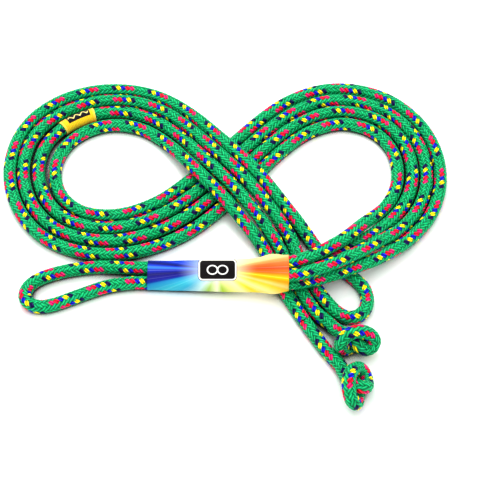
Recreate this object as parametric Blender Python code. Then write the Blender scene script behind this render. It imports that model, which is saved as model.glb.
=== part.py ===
# Coiled two-person skipping rope with a paper band and a woven tag.
#
# The rope is one braided line, folded in four and laid as a lying figure-eight: a loop to the
# left (-x), a loop to the right (+x), and the banded bundle and the two knots in front (-y).
# It rests on z = 0.  The lay is worked out in millimetres and turned into metres when the
# solids are made.  Strands are numbered 1 to 4 from the outside of the left loop to its inside.
import math
from collections import namedtuple

import bpy
import numpy as np

# ---------------------------------------------------------------- driving dimensions (mm)
ROPE_D = 11.6          # rope diameter
KNOT_D = 10.4          # rope diameter where the knots squeeze it
AIR = .40              # air left between strands that touch
STEP = 2.5             # spacing of points along the rope
GUIDE_STEP = .5        # spacing of points along the guide
VIEWPOINT = np.array([13.2, -689.2, 948.1])   # point the lay was sighted from
SIGHT_Z = 6.0          # height of the plane the sighted positions are given on
LAY_SCALE = .995       # makes the rope 16 ft long over its two knots
LAY_ORIGIN = (-8.80, -62.31, .395)   # point of the scaled lay that becomes the world's origin
METRES = .001          # metres in a millimetre

# rope section
PIECE_GAP = .30        # clearance at a cut, and between layers of paper and glue
COVER_W, COVER_H = .947, .925   # six-sided cover section against the round rope
CORE_W, CORE_H = .56, .60       # hollow of the cover against its outside
CORE_AIR = .45         # clearance between core and cover
SQUASH = .87           # height of a strand that lies under or over another, in diameters
SPREAD = 1.03          # and its width
PIN_SQUEEZE = .80      # rope diameter in the hairpin inside the paper band, against ROPE_D

# finishes
Finish = namedtuple('Finish', 'colour roughness')
COVER_FINISH = Finish(colour=(.02, .42, .16), roughness=.8)
CORE_FINISH = Finish(colour=(.86, .86, .82), roughness=.8)
MELTED_FINISH = Finish(colour=(.01, .20, .08), roughness=.35)
PAPER_FINISH = Finish(colour=(.05, .25, .75), roughness=.45)
GLUE_FINISH = Finish(colour=(.85, .82, .70), roughness=.5)
TAG_FINISH = Finish(colour=(.95, .72, .05), roughness=.8)
THREAD_FINISH = Finish(colour=(.03, .03, .03), roughness=.8)

# vertical cuts across the strands where the rope can bend; the direction is the moving side's
Cut = namedtuple('Cut', 'point direction')
CUT_REACH = 101.0      # a cut is read only this far from its point
CUT_LEFT = Cut((-78.0, 0.0), (-1.0, 0.0))
CUT_RIGHT = Cut((110.0, 18.5), (.8, .6))
CUT_BIGHT_B = Cut((-96.0, -100.0), (-1.0, 0.0))
CUT_BIGHT_A = Cut((89.0, -116.7), (.424, -.906))
CUT_TAIL_3 = Cut((60.5, -127.0), (.46, -.888))
CUT_TAIL_4 = Cut((48.5, -130.0), (.5, -.866))
CUT_KNOT_2 = Cut((67.5, -162.5), (.56, -.829))

# a point on the axis that each moving body turns about
PIVOTS = {
    'left_loop': (-78.0, 8.0, 11.5),
    'right_loop': (*CUT_RIGHT.point, 11.95),
    'bight_b': (-96.0, -103.0, 12.1),
    'bight_a': (*CUT_BIGHT_A.point, 11.5),
    'tail_3': (*CUT_TAIL_3.point, 11.5),
    'tail_4': (43.0, -133.3, 5.8),
    'knot_2': (*CUT_KNOT_2.point, 11.5),
}

# ---------------------------------------------------------------- the lay
# middle line of the four strands, as sighted: x, y
GUIDE = [
    (64, -123), (57, -102), (49, -83), (40, -62), (28, -41), (9, -12), (-15, 18), (-46, 49),
    (-76, 71), (-105, 79), (-134, 76), (-160, 59), (-176, 33), (-180, 1), (-170, -28),
    (-148, -50), (-123, -59), (-98, -60), (-72, -53), (-47, -39), (-23, -17), (0, 9), (26, 38),
    (58, 65), (95, 79), (126, 72), (148, 51), (159, 25), (161, -4), (154, -29), (139, -49),
    (120, -63), (101, -75), (76, -90), (55, -99), (30, -102), (5, -103), (-29, -103),
    (-70, -103), (-104, -102),
]
GUIDE_SMOOTHING = 12   # in points of the guide

# sighted side offsets of the strands from the guide: run along guide, strand 4, 3, 2, 1
SIDE_OFFSETS = np.array([
    (45, 18.6, 6.8, -5.0, -21.4), (60, 19.9, 7.0, -6.2, -19.4), (80, 20.5, 7.4, -6.0, -18.1),
    (100, 21.1, 7.3, -6.1, -17.8), (140, 21.8, 7.4, -6.1, -18.3), (160, 21.7, 8.0, -5.2, -17.9),
    (180, 21.2, 8.0, -5.0, -17.1), (200, 19.7, 6.6, -6.0, -18.1), (220, 19.4, 6.1, -6.8, -18.9),
    (260, 21.4, 7.0, -6.4, -18.8), (280, 22.6, 7.6, -6.2, -18.3), (300, 24.3, 9.2, -5.0, -18.0),
    (320, 24.6, 9.3, -5.7, -19.1), (340, 23.9, 7.8, -7.1, -20.2), (360, 23.1, 7.0, -7.4, -19.9),
    (380, 22.4, 7.3, -6.6, -18.0), (400, 21.8, 7.5, -5.9, -16.9), (420, 20.9, 7.5, -5.6, -17.4),
    (440, 19.1, 6.1, -6.8, -19.1), (460, 18.1, 5.3, -7.9, -20.8), (480, 17.3, 4.9, -8.0, -21.6),
    (500, 18.0, 5.1, -8.0, -21.5), (540, 19.4, 6.3, -7.4, -21.9), (580, 20.4, 7.3, -6.5, -20.9),
    (620, 19.5, 6.8, -6.4, -19.8), (660, 18.5, 6.4, -6.4, -19.0), (700, 20.3, 7.6, -5.1, -18.0),
    (720, 21.3, 8.5, -4.9, -18.4), (740, 21.1, 8.4, -5.4, -19.6), (760, 19.1, 6.1, -6.9, -20.9),
    (780, 18.4, 5.3, -7.3, -21.3), (800, 18.3, 6.0, -6.1, -19.9), (840, 19.0, 7.3, -4.9, -17.6),
    (860, 19.0, 7.4, -5.4, -18.4), (900, 18.8, 6.6, -5.9, -18.4), (920, 19.6, 7.4, -5.6, -16.6),
    (940, 19.5, 7.4, -5.2, -14.0), (960, 18.8, 7.0, -4.8, -12.2), (980, 17.2, 5.6, -4.3, -10.8),
    (1000, 13.7, 3.7, -3.9, -10.3), (1025, 10.7, 3.3, -3.9, -10.1), (1050, 9.8, 3.3, -3.4, -9.8),
    (1064, 9.2, 3.3, -3.0, -9.4), (1110, 7.8, 3.3, -3.0, -8.2), (1147, 6.8, 3.3, -3.0, -7.4),
    (1165, 6.8, 3.3, -3.0, -7.6),
])

# heights of the strand centres: run along guide, height in ROPE_D
UNDER_CROSSING = [(575, .5), (600, .45), (645, .45), (670, .5)]   # the same for all strands
RISE = {
    4: [(45, .47), (56, .5), (98, 1.34), (174, 1.34), (216, .5), *UNDER_CROSSING,
        (918, .5), (966, 1.29), (1030, 1.29), (1058, 1.1), (1140, .545), (1180, .54)],
    3: [(45, .44), (56, .5), (100, 1.34), (175, 1.34), (217, .5), (280, .5), (294, .59),
        (334, .59), (348, .5), *UNDER_CROSSING, (922, .5), (975, 2.14), (1030, 2.14),
        (1064, 1.89)],
    2: [(45, .44), (58, .5), (104, 1.34), (176, 1.34), (218, .5), *UNDER_CROSSING,
        (918, .5), (966, 1.29), (1030, 1.29), (1064, 1.04)],
    1: [(45, .44), (60, .5), (110, 1.34), (178, 1.34), (222, .5), *UNDER_CROSSING,
        (922, .5), (975, 2.14), (1030, 2.14), (1058, 2.0), (1140, .56), (1180, .54)],
}

# run along the guide from which and to which each strand follows it
STRAND_SPAN = {1: (54, 1143), 2: (64, 1040), 3: (48, 1040), 4: (48, 1143)}
SMOOTH_SPAN = (30, 1180)   # runs between which offsets and heights are smoothed, every mm
OFFSET_SMOOTHING, RISE_SMOOTHING = 7, 8

# free runs: sighted x, y, height in ROPE_D
BIGHT_B = [
    (-91, -95.0, .54), (-112, -94.3, .52), (-130, -96.2, .5), (-148, -100.4, .52),
    (-163, -106.6, .55), (-172, -115.5, .56), (-172.5, -126, .55), (-163.5, -133, .52),
    (-150, -131.6, .5), (-135, -125.6, .5), (-118, -118.2, .5), (-104, -113.0, .52),
    (-90, -110.4, .54),
]
BIGHT_A = [
    (76, -85, .44), (88, -94.5, .46), (99, -104.5, .5), (107.5, -114.5, .5),
    (110.3, -125.5, .5), (107.8, -136.2, .5), (100.5, -143, .5), (91, -143, .5),
    (82, -135.8, .5), (74.5, -125.5, .5), (67.5, -113.5, .48), (60, -98, .44), (53.5, -84, .44),
]
TAIL_3 = [(43.5, -92, .44), (49, -104, .46), (55.8, -117.8, .5), (61.5, -129, .5),
          (66.5, -137.5, .5)]
TAIL_4 = [(32.5, -96, .47), (37, -107, .5), (42.2, -118.1, .5), (51, -134.8, .5),
          (61.2, -152.6, .5), (69, -165.1, .5), (75.5, -175, .5)]

# runs of the rope, in order from the cut end of knot 2 to the cut end of knot 1
RUNS = ('knot_2', 'tail_4', 'strand_4', 'bight_b', 'strand_1', 'bight_a', 'strand_2',
        'bight_c', 'strand_3', 'tail_3', 'knot_1')
KNOT_RUNS = ('knot_1', 'knot_2')


def blend(start, end, time_0, time_1, time):
    """start at time_0 going evenly to end at time_1."""
    return ((time_1 - time) / (time_1 - time_0) * start
            + (time - time_0) / (time_1 - time_0) * end)


def spline(points, per_span=24):
    """centripetal Catmull-Rom curve through the points."""
    points = np.asarray(points, float)
    ends = np.vstack([2 * points[0] - points[1], points, 2 * points[-1] - points[-2]])
    out = []
    for i in range(1, len(ends) - 2):
        p0, p1, p2, p3 = ends[i - 1:i + 3]
        time_1 = np.linalg.norm(p1 - p0) ** .5
        time_2 = time_1 + np.linalg.norm(p2 - p1) ** .5
        time_3 = time_2 + np.linalg.norm(p3 - p2) ** .5
        time = np.linspace(time_1, time_2, per_span, endpoint=False)[:, None]
        leg_1 = blend(p0, p1, 0, time_1, time)
        leg_2 = blend(p1, p2, time_1, time_2, time)
        leg_3 = blend(p2, p3, time_2, time_3, time)
        early = blend(leg_1, leg_2, 0, time_2, time)
        late = blend(leg_2, leg_3, time_1, time_3, time)
        out.append(blend(early, late, time_1, time_2, time))
    out.append(points[-1:])
    return np.vstack(out)


def distances(points):
    """distance along the line at each point."""
    return np.r_[0, np.cumsum(np.linalg.norm(np.diff(points, axis=0), axis=1))]


def resample(points, step=None, count=None):
    """even points along the line, by spacing or by number."""
    along = distances(points)
    number = count if count else max(2, int(round(along[-1] / step)) + 1)
    even = np.linspace(0, along[-1], number)
    return np.stack([np.interp(even, along, column) for column in points.T], -1)


def smooth(values, sigma):
    """Gaussian smoothing down the first axis, with the ends mirrored through the end values."""
    values = np.asarray(values, float)
    reach = int(math.ceil(3 * sigma))
    kernel = np.exp(-.5 * (np.arange(-reach, reach + 1) / sigma) ** 2)
    kernel /= kernel.sum()
    flat = values.ndim == 1
    table = values[:, None] if flat else values
    padded = np.vstack([2 * table[:1] - table[reach:0:-1], table,
                        2 * table[-1:] - table[-2:-reach - 2:-1]])
    out = np.stack([np.convolve(column, kernel, 'valid') for column in padded.T], -1)
    return out[:, 0] if flat else out


def sight(x, y, z):
    """point at height z on the line from the viewpoint through the sighted point (x, y)."""
    on_plane = np.stack([np.asarray(x, float), np.asarray(y, float),
                         np.full(np.shape(x), SIGHT_Z)], -1)
    ratio = (np.asarray(z, float) - VIEWPOINT[2]) / (on_plane[..., 2] - VIEWPOINT[2])
    return VIEWPOINT + (on_plane - VIEWPOINT) * ratio[..., None]


def guide_line():
    """points of the guide and the directions to its left."""
    guide = resample(spline(GUIDE), GUIDE_STEP)
    guide = resample(smooth(guide, GUIDE_SMOOTHING), GUIDE_STEP)
    tangent = np.gradient(guide, axis=0)
    tangent /= np.linalg.norm(tangent, axis=1)[:, None]
    return guide, np.stack([-tangent[:, 1], tangent[:, 0]], -1)


def strand(number):
    """one of the strands 1..4 along the guide, as a 3-D line."""
    guide, left = guide_line()
    guide_run = np.arange(len(guide)) * GUIDE_STEP
    start, end = STRAND_SPAN[number]
    run = np.arange(start, end + .1, STEP)
    fine = np.arange(*SMOOTH_SPAN, 1.)
    rise = np.array(RISE[number])
    fine_offset = smooth(np.interp(fine, SIDE_OFFSETS[:, 0], SIDE_OFFSETS[:, 5 - number]),
                         OFFSET_SMOOTHING)
    fine_rise = smooth(np.interp(fine, rise[:, 0], rise[:, 1]), RISE_SMOOTHING)
    offset = np.interp(run, fine, fine_offset)
    height = np.interp(run, fine, fine_rise) * ROPE_D
    x, y = (np.interp(run, guide_run, guide[:, axis])
            + offset * np.interp(run, guide_run, left[:, axis]) for axis in (0, 1))
    return sight(x, y, height)


def free_run(table):
    x, y, rise = np.array(table, float).T
    return resample(spline(sight(x, y, rise * ROPE_D)), STEP)


def hairpin(first, second, count=14):
    """round end joining the last points of two strands that point the same way."""
    start, end = first[-1], second[-1]
    radius = np.linalg.norm(end - start) / 2
    middle = (start + end) / 2
    across = (start - end) / (2 * radius)
    onward = (start - first[-3]) + (end - second[-3])
    onward -= across * (onward @ across)
    onward /= np.linalg.norm(onward)
    angle = np.linspace(0, math.pi, count)[1:-1]
    return (middle + across * radius * np.cos(angle)[:, None]
            + onward * radius * np.sin(angle)[:, None])


# ---------------------------------------------------------------- relaxing
def mean_push(count, i, j, shift):
    """average move of each point when every pair i, j is moved apart by shift."""
    move, hits = np.zeros((count, 3)), np.zeros(count)
    np.add.at(move, i, shift)
    np.add.at(move, j, -shift)
    np.add.at(hits, i, 1)
    np.add.at(hits, j, 1)
    return move / np.maximum(hits, 1)[:, None]


def to_straight(points, reach):
    """move that takes each point to halfway between those `reach` before and after it."""
    move = np.zeros_like(points)
    halfway = (points[:-2 * reach] + points[2 * reach:]) * .5
    move[reach:-reach] = halfway - points[reach:-reach]
    return move


# ---------------------------------------------------------------- knots
BEND = 7.2             # tightest bend of the middle line inside a knot
# middle of each knot as sighted, then the rope round it: sighted offsets and height in KNOT_D
KNOT_1_MIDDLE, KNOT_2_MIDDLE = (100.4, -163.2), (94.8, -207.0)
KNOT_1 = [
    (-22, 14, .55), (-15, 5, .75), (-7, -3, 1.15), (0, -9, .95), (9, -12.5, .6), (17.5, -9, .8),
    (20.5, -2, 1.35), (14.5, 5.5, 1.9), (4, 8, 2.15), (-6, 5.5, 2.1), (-13, -1, 1.7),
    (-14.5, -8.5, 1.05), (-9, -11, .55), (-2, -6, .5), (4, -2, .6),
]
# the second knot: its own way in, then the first knot's turns, turned and stretched
KNOT_2_ENTRY = [(-11.5, 21.5, .55), (-5.5, 11.5, .7)]
KNOT_2_TURN = 68.0     # degrees
KNOT_2_STRETCH_X, KNOT_2_STRETCH_Y = .9, 1.05
KNOT_2_FORWARD = 1     # shift towards -y

# tightening of a knot
KNOT_STEP = 2.0        # spacing of its points
KNOT_ROUNDS = 500
KNOT_SHAPING = .8      # share of the rounds in which it is also held to its table
KNOT_SKIP = 4          # points nearer than this along the rope don't push each other
KNOT_PUSH = 1.2        # share of an overlap's average push that is applied
KNOT_PUSH_SMOOTHING = 1.0
KNOT_EASE, KNOT_LATE_EASE = .10, .04   # straightening while shaping and after it
KNOT_WIDE_EASE = .9    # straightening over two points against that over one
KNOT_HOLD = .004       # pull towards the table
KNOT_CLEARANCE = .1    # least clearance under the rope
KNOT_EVEN_EVERY = 10   # rounds between evening out the points


def knot_2_table():
    cosine, sine = math.cos(math.radians(KNOT_2_TURN)), math.sin(math.radians(KNOT_2_TURN))
    turns = [((x * cosine - y * sine) * KNOT_2_STRETCH_X,
              (x * sine + y * cosine) * KNOT_2_STRETCH_Y - KNOT_2_FORWARD, z)
             for x, y, z in KNOT_1[2:]]
    return KNOT_2_ENTRY + turns


def tighten(middle, table):
    """lay a knot by its table, then let the turns push each other apart until none overlap."""
    x, y, rise = np.array(table, float).T
    laid = resample(spline(sight(middle[0] + x, middle[1] + y, rise * KNOT_D)), KNOT_STEP)
    points = laid.copy()
    count = len(points)
    i, j = np.triu_indices(count, KNOT_SKIP)
    # two points of one bend may be as close as the tightest allowed bend puts them
    half_turn = np.minimum((j - i) * KNOT_STEP / (2 * BEND), math.pi / 2)
    need = np.minimum(KNOT_D + AIR, 2 * BEND * np.sin(half_turn))
    for k in range(KNOT_ROUNDS):
        shaping = k < KNOT_ROUNDS * KNOT_SHAPING
        between = points[i] - points[j]
        gap = np.linalg.norm(between, axis=1)
        bad = gap < need
        shift = between[bad] / gap[bad][:, None] * ((need[bad] - gap[bad]) * .5)[:, None]
        push = mean_push(count, i[bad], j[bad], shift)
        points = points + KNOT_PUSH * smooth(push, KNOT_PUSH_SMOOTHING)
        ease = KNOT_EASE if shaping else KNOT_LATE_EASE
        move = (ease * to_straight(points, 1)
                + ease * KNOT_WIDE_EASE * to_straight(points, 2))
        points[1:] = points[1:] + move[1:]
        if shaping:
            points = points + KNOT_HOLD * (laid - points)
        points[:, 2] = np.maximum(points[:, 2], KNOT_D / 2 + KNOT_CLEARANCE)
        points[0] = laid[0]
        if k % KNOT_EVEN_EVERY == KNOT_EVEN_EVERY - 1:
            points = resample(points, count=count)
    return points


# ---------------------------------------------------------------- the whole line
BRIDGE_FROM = 1.6      # gaps between points longer than this many steps are bridged


def rope_runs():
    """points of each run, in the direction the rope goes through it."""
    strand_2, strand_3 = strand(2), strand(3)
    return {
        'knot_2': tighten(KNOT_2_MIDDLE, knot_2_table())[::-1],
        'tail_4': free_run(TAIL_4)[::-1],
        'strand_4': strand(4),
        'bight_b': free_run(BIGHT_B)[::-1],
        'strand_1': strand(1)[::-1],
        'bight_a': free_run(BIGHT_A),
        'strand_2': strand_2,
        'bight_c': hairpin(strand_2, strand_3),
        'strand_3': strand_3[::-1],
        'tail_3': free_run(TAIL_3),
        'knot_1': tighten(KNOT_1_MIDDLE, KNOT_1),
    }


def bridge(points, k, gap):
    """Hermite curve from point k to the next: pairs of share of the gap and point."""
    start, end = points[k], points[k + 1]
    leave, arrive = start - points[k - 2], points[k + 3] - end
    leave = leave / np.linalg.norm(leave) * gap
    arrive = arrive / np.linalg.norm(arrive) * gap
    count = int(round(gap / STEP))
    out = []
    for q in range(1, count):
        t = q / count
        out.append((t, (2 * t ** 3 - 3 * t * t + 1) * start
                    + (t ** 3 - 2 * t * t + t) * leave
                    + (3 * t * t - 2 * t ** 3) * end + (t ** 3 - t * t) * arrive))
    return out


def rope_line():
    """one even line of points along the whole rope, with the run each point belongs to."""
    runs = rope_runs()
    points = np.vstack([runs[name] for name in RUNS])
    owner = np.concatenate([np.full(len(runs[name]), name) for name in RUNS])
    gaps = np.linalg.norm(np.diff(points, axis=0), axis=1)
    line, label = [], []
    for k in range(len(points)):
        line.append(points[k])
        label.append(owner[k])
        if k + 1 < len(points) and gaps[k] > BRIDGE_FROM * STEP:
            for share, point in bridge(points, k, gaps[k]):
                line.append(point)
                label.append(owner[k] if share < .5 else owner[k + 1])
    line, label = np.array(line), np.array(label)
    along = distances(line)
    out = resample(line, STEP)
    even = np.linspace(0, along[-1], len(out))
    return out, label[np.clip(np.searchsorted(along, even), 0, len(label) - 1)]


# settling of the strands on each other
KNOT_POINTS = int(135 / STEP)   # points at each end that belong to a knot
THIN_TO = .62          # share of the knot points with the knot's diameter
THIN_FADE = .22        # share over which it grows to the full diameter
DIAMETER_SMOOTHING = 2.0
NEAR_POINTS = int(math.ceil(1.6 * ROPE_D / STEP))   # points this near along the rope never push
PILE_BESIDE, PILE_ABOVE = .75, .5   # strands nearer aside and farther in height, in ROPE_D, pile up
PILE_SMOOTHING = (2.0, 2.5)
PILE_GAIN = 1.25       # restores the full effect after smoothing
SETTLE_ROUNDS = 60
SETTLE_CELL = 1.3      # cell of the neighbour search, in ROPE_D
SETTLE_PUSH = 1.4      # share of an overlap's average push that is applied
SETTLE_PUSH_SMOOTHING = 1.5
SETTLE_CLEARANCE = .02 # least clearance under the rope
SETTLE_EASE = .15      # straightening,
SETTLE_EASE_EVERY = 3  # once in this many rounds,
SETTLE_EASE_UNTIL = .8 # in this share of them
CELL_ROW = 10000       # key difference between neighbouring rows of cells
NEIGHBOURS = ((0, 0), (0, 1), (1, -1), (1, 0), (1, 1))


def rope_diameters(count, in_hairpin):
    """rope diameter at each point, smaller in the knots and in the hairpin."""
    ramp = np.clip((np.arange(count) - KNOT_POINTS * THIN_TO) / (KNOT_POINTS * THIN_FADE), 0, 1)
    thin = KNOT_D / ROPE_D
    diameter = np.full(count, ROPE_D)
    diameter *= thin + (1 - thin) * np.minimum(ramp, ramp[::-1])
    diameter[in_hairpin] *= PIN_SQUEEZE
    return smooth(diameter, DIAMETER_SMOOTHING)


def piled_up(points):
    """0 to 1 at each point: how far the strand lies under or over another."""
    count = len(points)
    pile = np.zeros(count)
    for k in range(KNOT_POINTS, count - KNOT_POINTS):
        beside = np.linalg.norm(points[:, :2] - points[k, :2], axis=1)
        above = np.abs(points[:, 2] - points[k, 2])
        far = np.abs(np.arange(count) - k) > NEAR_POINTS
        pile[k] = ((beside < PILE_BESIDE * ROPE_D) & (above > PILE_ABOVE * ROPE_D) & far).any()
    for sigma in PILE_SMOOTHING:
        pile = smooth(pile, sigma)
    return np.clip(pile * PILE_GAIN, 0, 1)


def close_pairs(points):
    """pairs of points in the same or neighbouring cells, not near each other along the rope."""
    cell = np.floor((points - points.min(0)) / (ROPE_D * SETTLE_CELL)).astype(int)
    key = cell[:, 0] * CELL_ROW + cell[:, 1]
    members = {}
    for q in np.argsort(key, kind='stable'):
        members.setdefault(int(key[q]), []).append(int(q))
    firsts, seconds = [], []
    for cell_key, own in members.items():
        for row, column in NEIGHBOURS:
            other = members.get(cell_key + row * CELL_ROW + column)
            if other is None:
                continue
            i, j = np.meshgrid(np.array(own), np.array(other), indexing='ij')
            i, j = i.ravel(), j.ravel()
            valid = np.abs(i - j) > NEAR_POINTS
            if row == 0 and column == 0:
                valid &= i < j
            firsts.append(i[valid])
            seconds.append(j[valid])
    return np.concatenate(firsts), np.concatenate(seconds)


def settle(points, in_hairpin):
    """push strands apart that overlap; gives points, height and width factors, diameters."""
    count = len(points)
    diameter = rope_diameters(count, in_hairpin)
    pile = piled_up(points)
    height, width = 1 - (1 - SQUASH) * pile, 1 + (SPREAD - 1) * pile
    for k in range(SETTLE_ROUNDS):
        i, j = close_pairs(points)
        # distances are measured in the flattened section's own proportions
        scale = np.stack([1 / ((width[i] + width[j]) / 2)] * 2
                         + [1 / ((height[i] + height[j]) / 2)], -1)
        between = (points[i] - points[j]) * scale
        gap = np.linalg.norm(between, axis=1)
        need = (diameter[i] + diameter[j]) / 2 + AIR
        bad = gap < need
        if not bad.any():
            break
        shift = (between[bad] / gap[bad][:, None] / scale[bad]
                 * ((need - gap)[bad] * .5)[:, None])
        push = mean_push(count, i[bad], j[bad], shift)
        points = points + SETTLE_PUSH * smooth(push, SETTLE_PUSH_SMOOTHING)
        points[:, 2] = np.maximum(points[:, 2], diameter / 2 * height + SETTLE_CLEARANCE)
        if (k % SETTLE_EASE_EVERY == SETTLE_EASE_EVERY - 1
                and k < SETTLE_ROUNDS * SETTLE_EASE_UNTIL):
            points = points + SETTLE_EASE * to_straight(points, 1)
    return points, height, width, diameter


FRAME_INSET = 4        # points from a knot at which frames stop being levelled


def frames(points, label):
    """tangent, direction to the right of travel and upward direction at each point."""
    tangent = np.gradient(points, axis=0)
    tangent /= np.linalg.norm(tangent, axis=1)[:, None]
    side = np.cross(tangent, [0, 0, 1.])
    side /= np.maximum(np.linalg.norm(side, axis=1), 1e-9)[:, None]

    def carry(k, source):
        """take over the side direction of the source point, made square to the rope."""
        square = side[source] - tangent[k] * (side[source] @ tangent[k])
        side[k] = square / np.linalg.norm(square)

    # the steep turns of the knots get their frames carried on from the level part
    body = np.where(~np.isin(label, KNOT_RUNS))[0]
    for k in range(body[-1] - FRAME_INSET + 1, len(points)):
        carry(k, k - 1)
    for k in range(body[0] + FRAME_INSET - 1, -1, -1):
        carry(k, k + 1)
    return tangent, side, np.cross(side, tangent)


# ---------------------------------------------------------------- places of the sections
STATION_TURN = 11.0    # degrees of bend between two sections of the bundle
STATION_LONG, STATION_SHORT = 19.0, 7.5   # longest step, on the flat and where strands climb
STATION_FINE = [(44, 64), (84, 108), (168, 184), (204, 228), (905, 1062)]   # runs where they climb
STATION_FROM = 30.0    # run along the guide where stations may begin
STATION_BEFORE = 20.0  # and the run the first step is counted from
STATION_ALONG = .75    # farthest a section may be from its station, in steps
STATION_ASIDE = 34     # and how far to the side
STATION_ALIGNED = .8   # least cosine between strand and guide
GUESS_START, GUESS_LENGTH = 48, 1090.0   # part of the guide the strands are taken to cover
GUESS_WEIGHT = .03     # mm of distance that one point off the guessed place counts for
# free runs: largest turn in degrees, shortest and longest step between sections
FREE_RINGS = {
    'knot_1': (28, 3, 9), 'knot_2': (28, 3, 9), 'tail_3': (9, 6, 12), 'tail_4': (9, 6, 12),
    'bight_a': (17, 5, 14), 'bight_b': (17, 5, 14), 'bight_c': (22, 3, 9),
}
RING_SPACING = 2       # least number of points between sections outside the knots


def stations(left):
    """indices along the guide at which all four strands get a section."""
    heading = np.unwrap(np.arctan2(left[:, 1], left[:, 0]))
    out, last = [], int(STATION_BEFORE / GUIDE_STEP)
    for k in range(int(STATION_FROM / GUIDE_STEP), len(left)):
        fine = any(low < k * GUIDE_STEP < high for low, high in STATION_FINE)
        longest = STATION_SHORT if fine else STATION_LONG
        if (abs(heading[k] - heading[last]) > math.radians(STATION_TURN)
                or (k - last) * GUIDE_STEP >= longest):
            out.append(k)
            last = k
    return out


def station_rings(points, tangent, label):
    """indices of the strands' sections abreast of the stations."""
    guide, left = guide_line()
    marks = stations(left)
    keep = set()
    for run in ('strand_1', 'strand_2', 'strand_3', 'strand_4'):
        index = np.where(label == run)[0]
        against = run in ('strand_1', 'strand_3')   # the rope runs against the guide
        for k in marks:
            forward = np.array([left[k, 1], -left[k, 0]])
            offset = points[index, :2] - guide[k]
            along = np.abs(offset @ forward)
            aside = np.abs(offset @ left[k])
            aligned = np.abs(tangent[index, :2] @ forward)
            part = (k * GUIDE_STEP - GUESS_START) / GUESS_LENGTH
            guess = index[0] + (index[-1] - index[0]) * ((1 - part) if against else part)
            valid = ((along < STEP * STATION_ALONG) & (aside < STATION_ASIDE)
                     & (aligned > STATION_ALIGNED))
            if valid.any():
                found = index[valid]
                score = along[valid] + GUESS_WEIGHT * np.abs(found - guess)
                keep.add(int(found[np.argmin(score)]))
    return keep


def free_rings(tangent, label):
    """indices of the sections of the free runs, spaced by turn and length."""
    keep = set()
    for run, (largest_turn, shortest, longest) in FREE_RINGS.items():
        index = np.where(label == run)[0]
        turn, length = 0.0, 0.0
        for k in range(index[0], index[-1] + 1):
            if k:
                cosine = float(tangent[k] @ tangent[k - 1])
                turn += math.degrees(math.acos(max(-1, min(1, cosine))))
            length += STEP
            if (turn >= largest_turn and length >= shortest) or length >= longest:
                keep.add(int(k))
                turn = length = 0.0
    return keep


def ring_plan(points, tangent, label):
    """indices of every section along the rope, thinned where two fall together."""
    every = sorted(station_rings(points, tangent, label) | free_rings(tangent, label))
    out = [every[0]]
    for k in every[1:]:
        if k - out[-1] >= RING_SPACING or label[k] in KNOT_RUNS:
            out.append(k)
    return out


# ---------------------------------------------------------------- solids
def world(points):
    """lay in millimetres to world in metres."""
    points = np.asarray(points, float) * LAY_SCALE
    return (points - np.array(LAY_ORIGIN)) * METRES


def material(name, finish):
    out = bpy.data.materials.new(name)
    out.use_nodes = True
    shader = out.node_tree.nodes.get('Principled BSDF')
    shader.inputs['Base Color'].default_value = (*finish.colour, 1)
    shader.inputs['Roughness'].default_value = finish.roughness
    out.diffuse_color = (*finish.colour, 1)
    return out


def flat_faces(points, faces, tolerance=1e-7):
    """faces that aren't flat are split into triangles, fanned from their first corner."""
    out = []
    for face in faces:
        if len(face) > 3:
            corners = points[list(face)]
            normal = np.cross(corners[1] - corners[0], corners[2] - corners[0])
            normal /= max(np.linalg.norm(normal), 1e-12)
            if np.abs((corners - corners[0]) @ normal).max() > tolerance:
                out += [(face[0], face[k], face[k + 1]) for k in range(1, len(face) - 1)]
                continue
        out.append(face)
    return out


def solid(name, verts, faces, finish, body='base'):
    """object with its faces turned outwards; a moving piece has its origin on its axis."""
    points = world(verts)
    volume = 0.0
    for face in faces:
        for k in range(1, len(face) - 1):
            volume += np.dot(points[face[0]],
                             np.cross(points[face[k]], points[face[k + 1]]))
    if volume < 0:
        faces = [tuple(reversed(face)) for face in faces]
    faces = flat_faces(points, faces)
    pivot = world(PIVOTS[body]) if body in PIVOTS else np.zeros(3)
    mesh = bpy.data.meshes.new(name)
    mesh.from_pydata([tuple(point) for point in points - pivot], [], faces)
    mesh.update()
    piece = bpy.data.objects.new(name, mesh)
    piece.location = pivot
    mesh.materials.append(material(name, finish))
    bpy.context.collection.objects.link(piece)


def hexagon(centre, side, up, half_width, half_height):
    return np.array([centre + side * x * half_width + up * y * half_height for x, y in
                     ((1, 0), (.5, 1), (-.5, 1), (-1, 0), (-.5, -1), (.5, -1))])


def rectangle(centre, side, up):
    return np.array([centre + side + up, centre - side + up,
                     centre - side - up, centre + side - up])


def rod(rings):
    """solid rod through a row of rings."""
    size, count = len(rings[0]), len(rings)
    faces = []
    for k in range(count - 1):
        near, far = k * size, (k + 1) * size
        for q in range(size):
            w = (q + 1) % size
            faces.append((near + w, far + w, far + q, near + q))
    faces.append(tuple(range(size - 1, -1, -1)))
    faces.append(tuple((count - 1) * size + q for q in range(size)))
    return np.vstack(rings), faces


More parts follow.
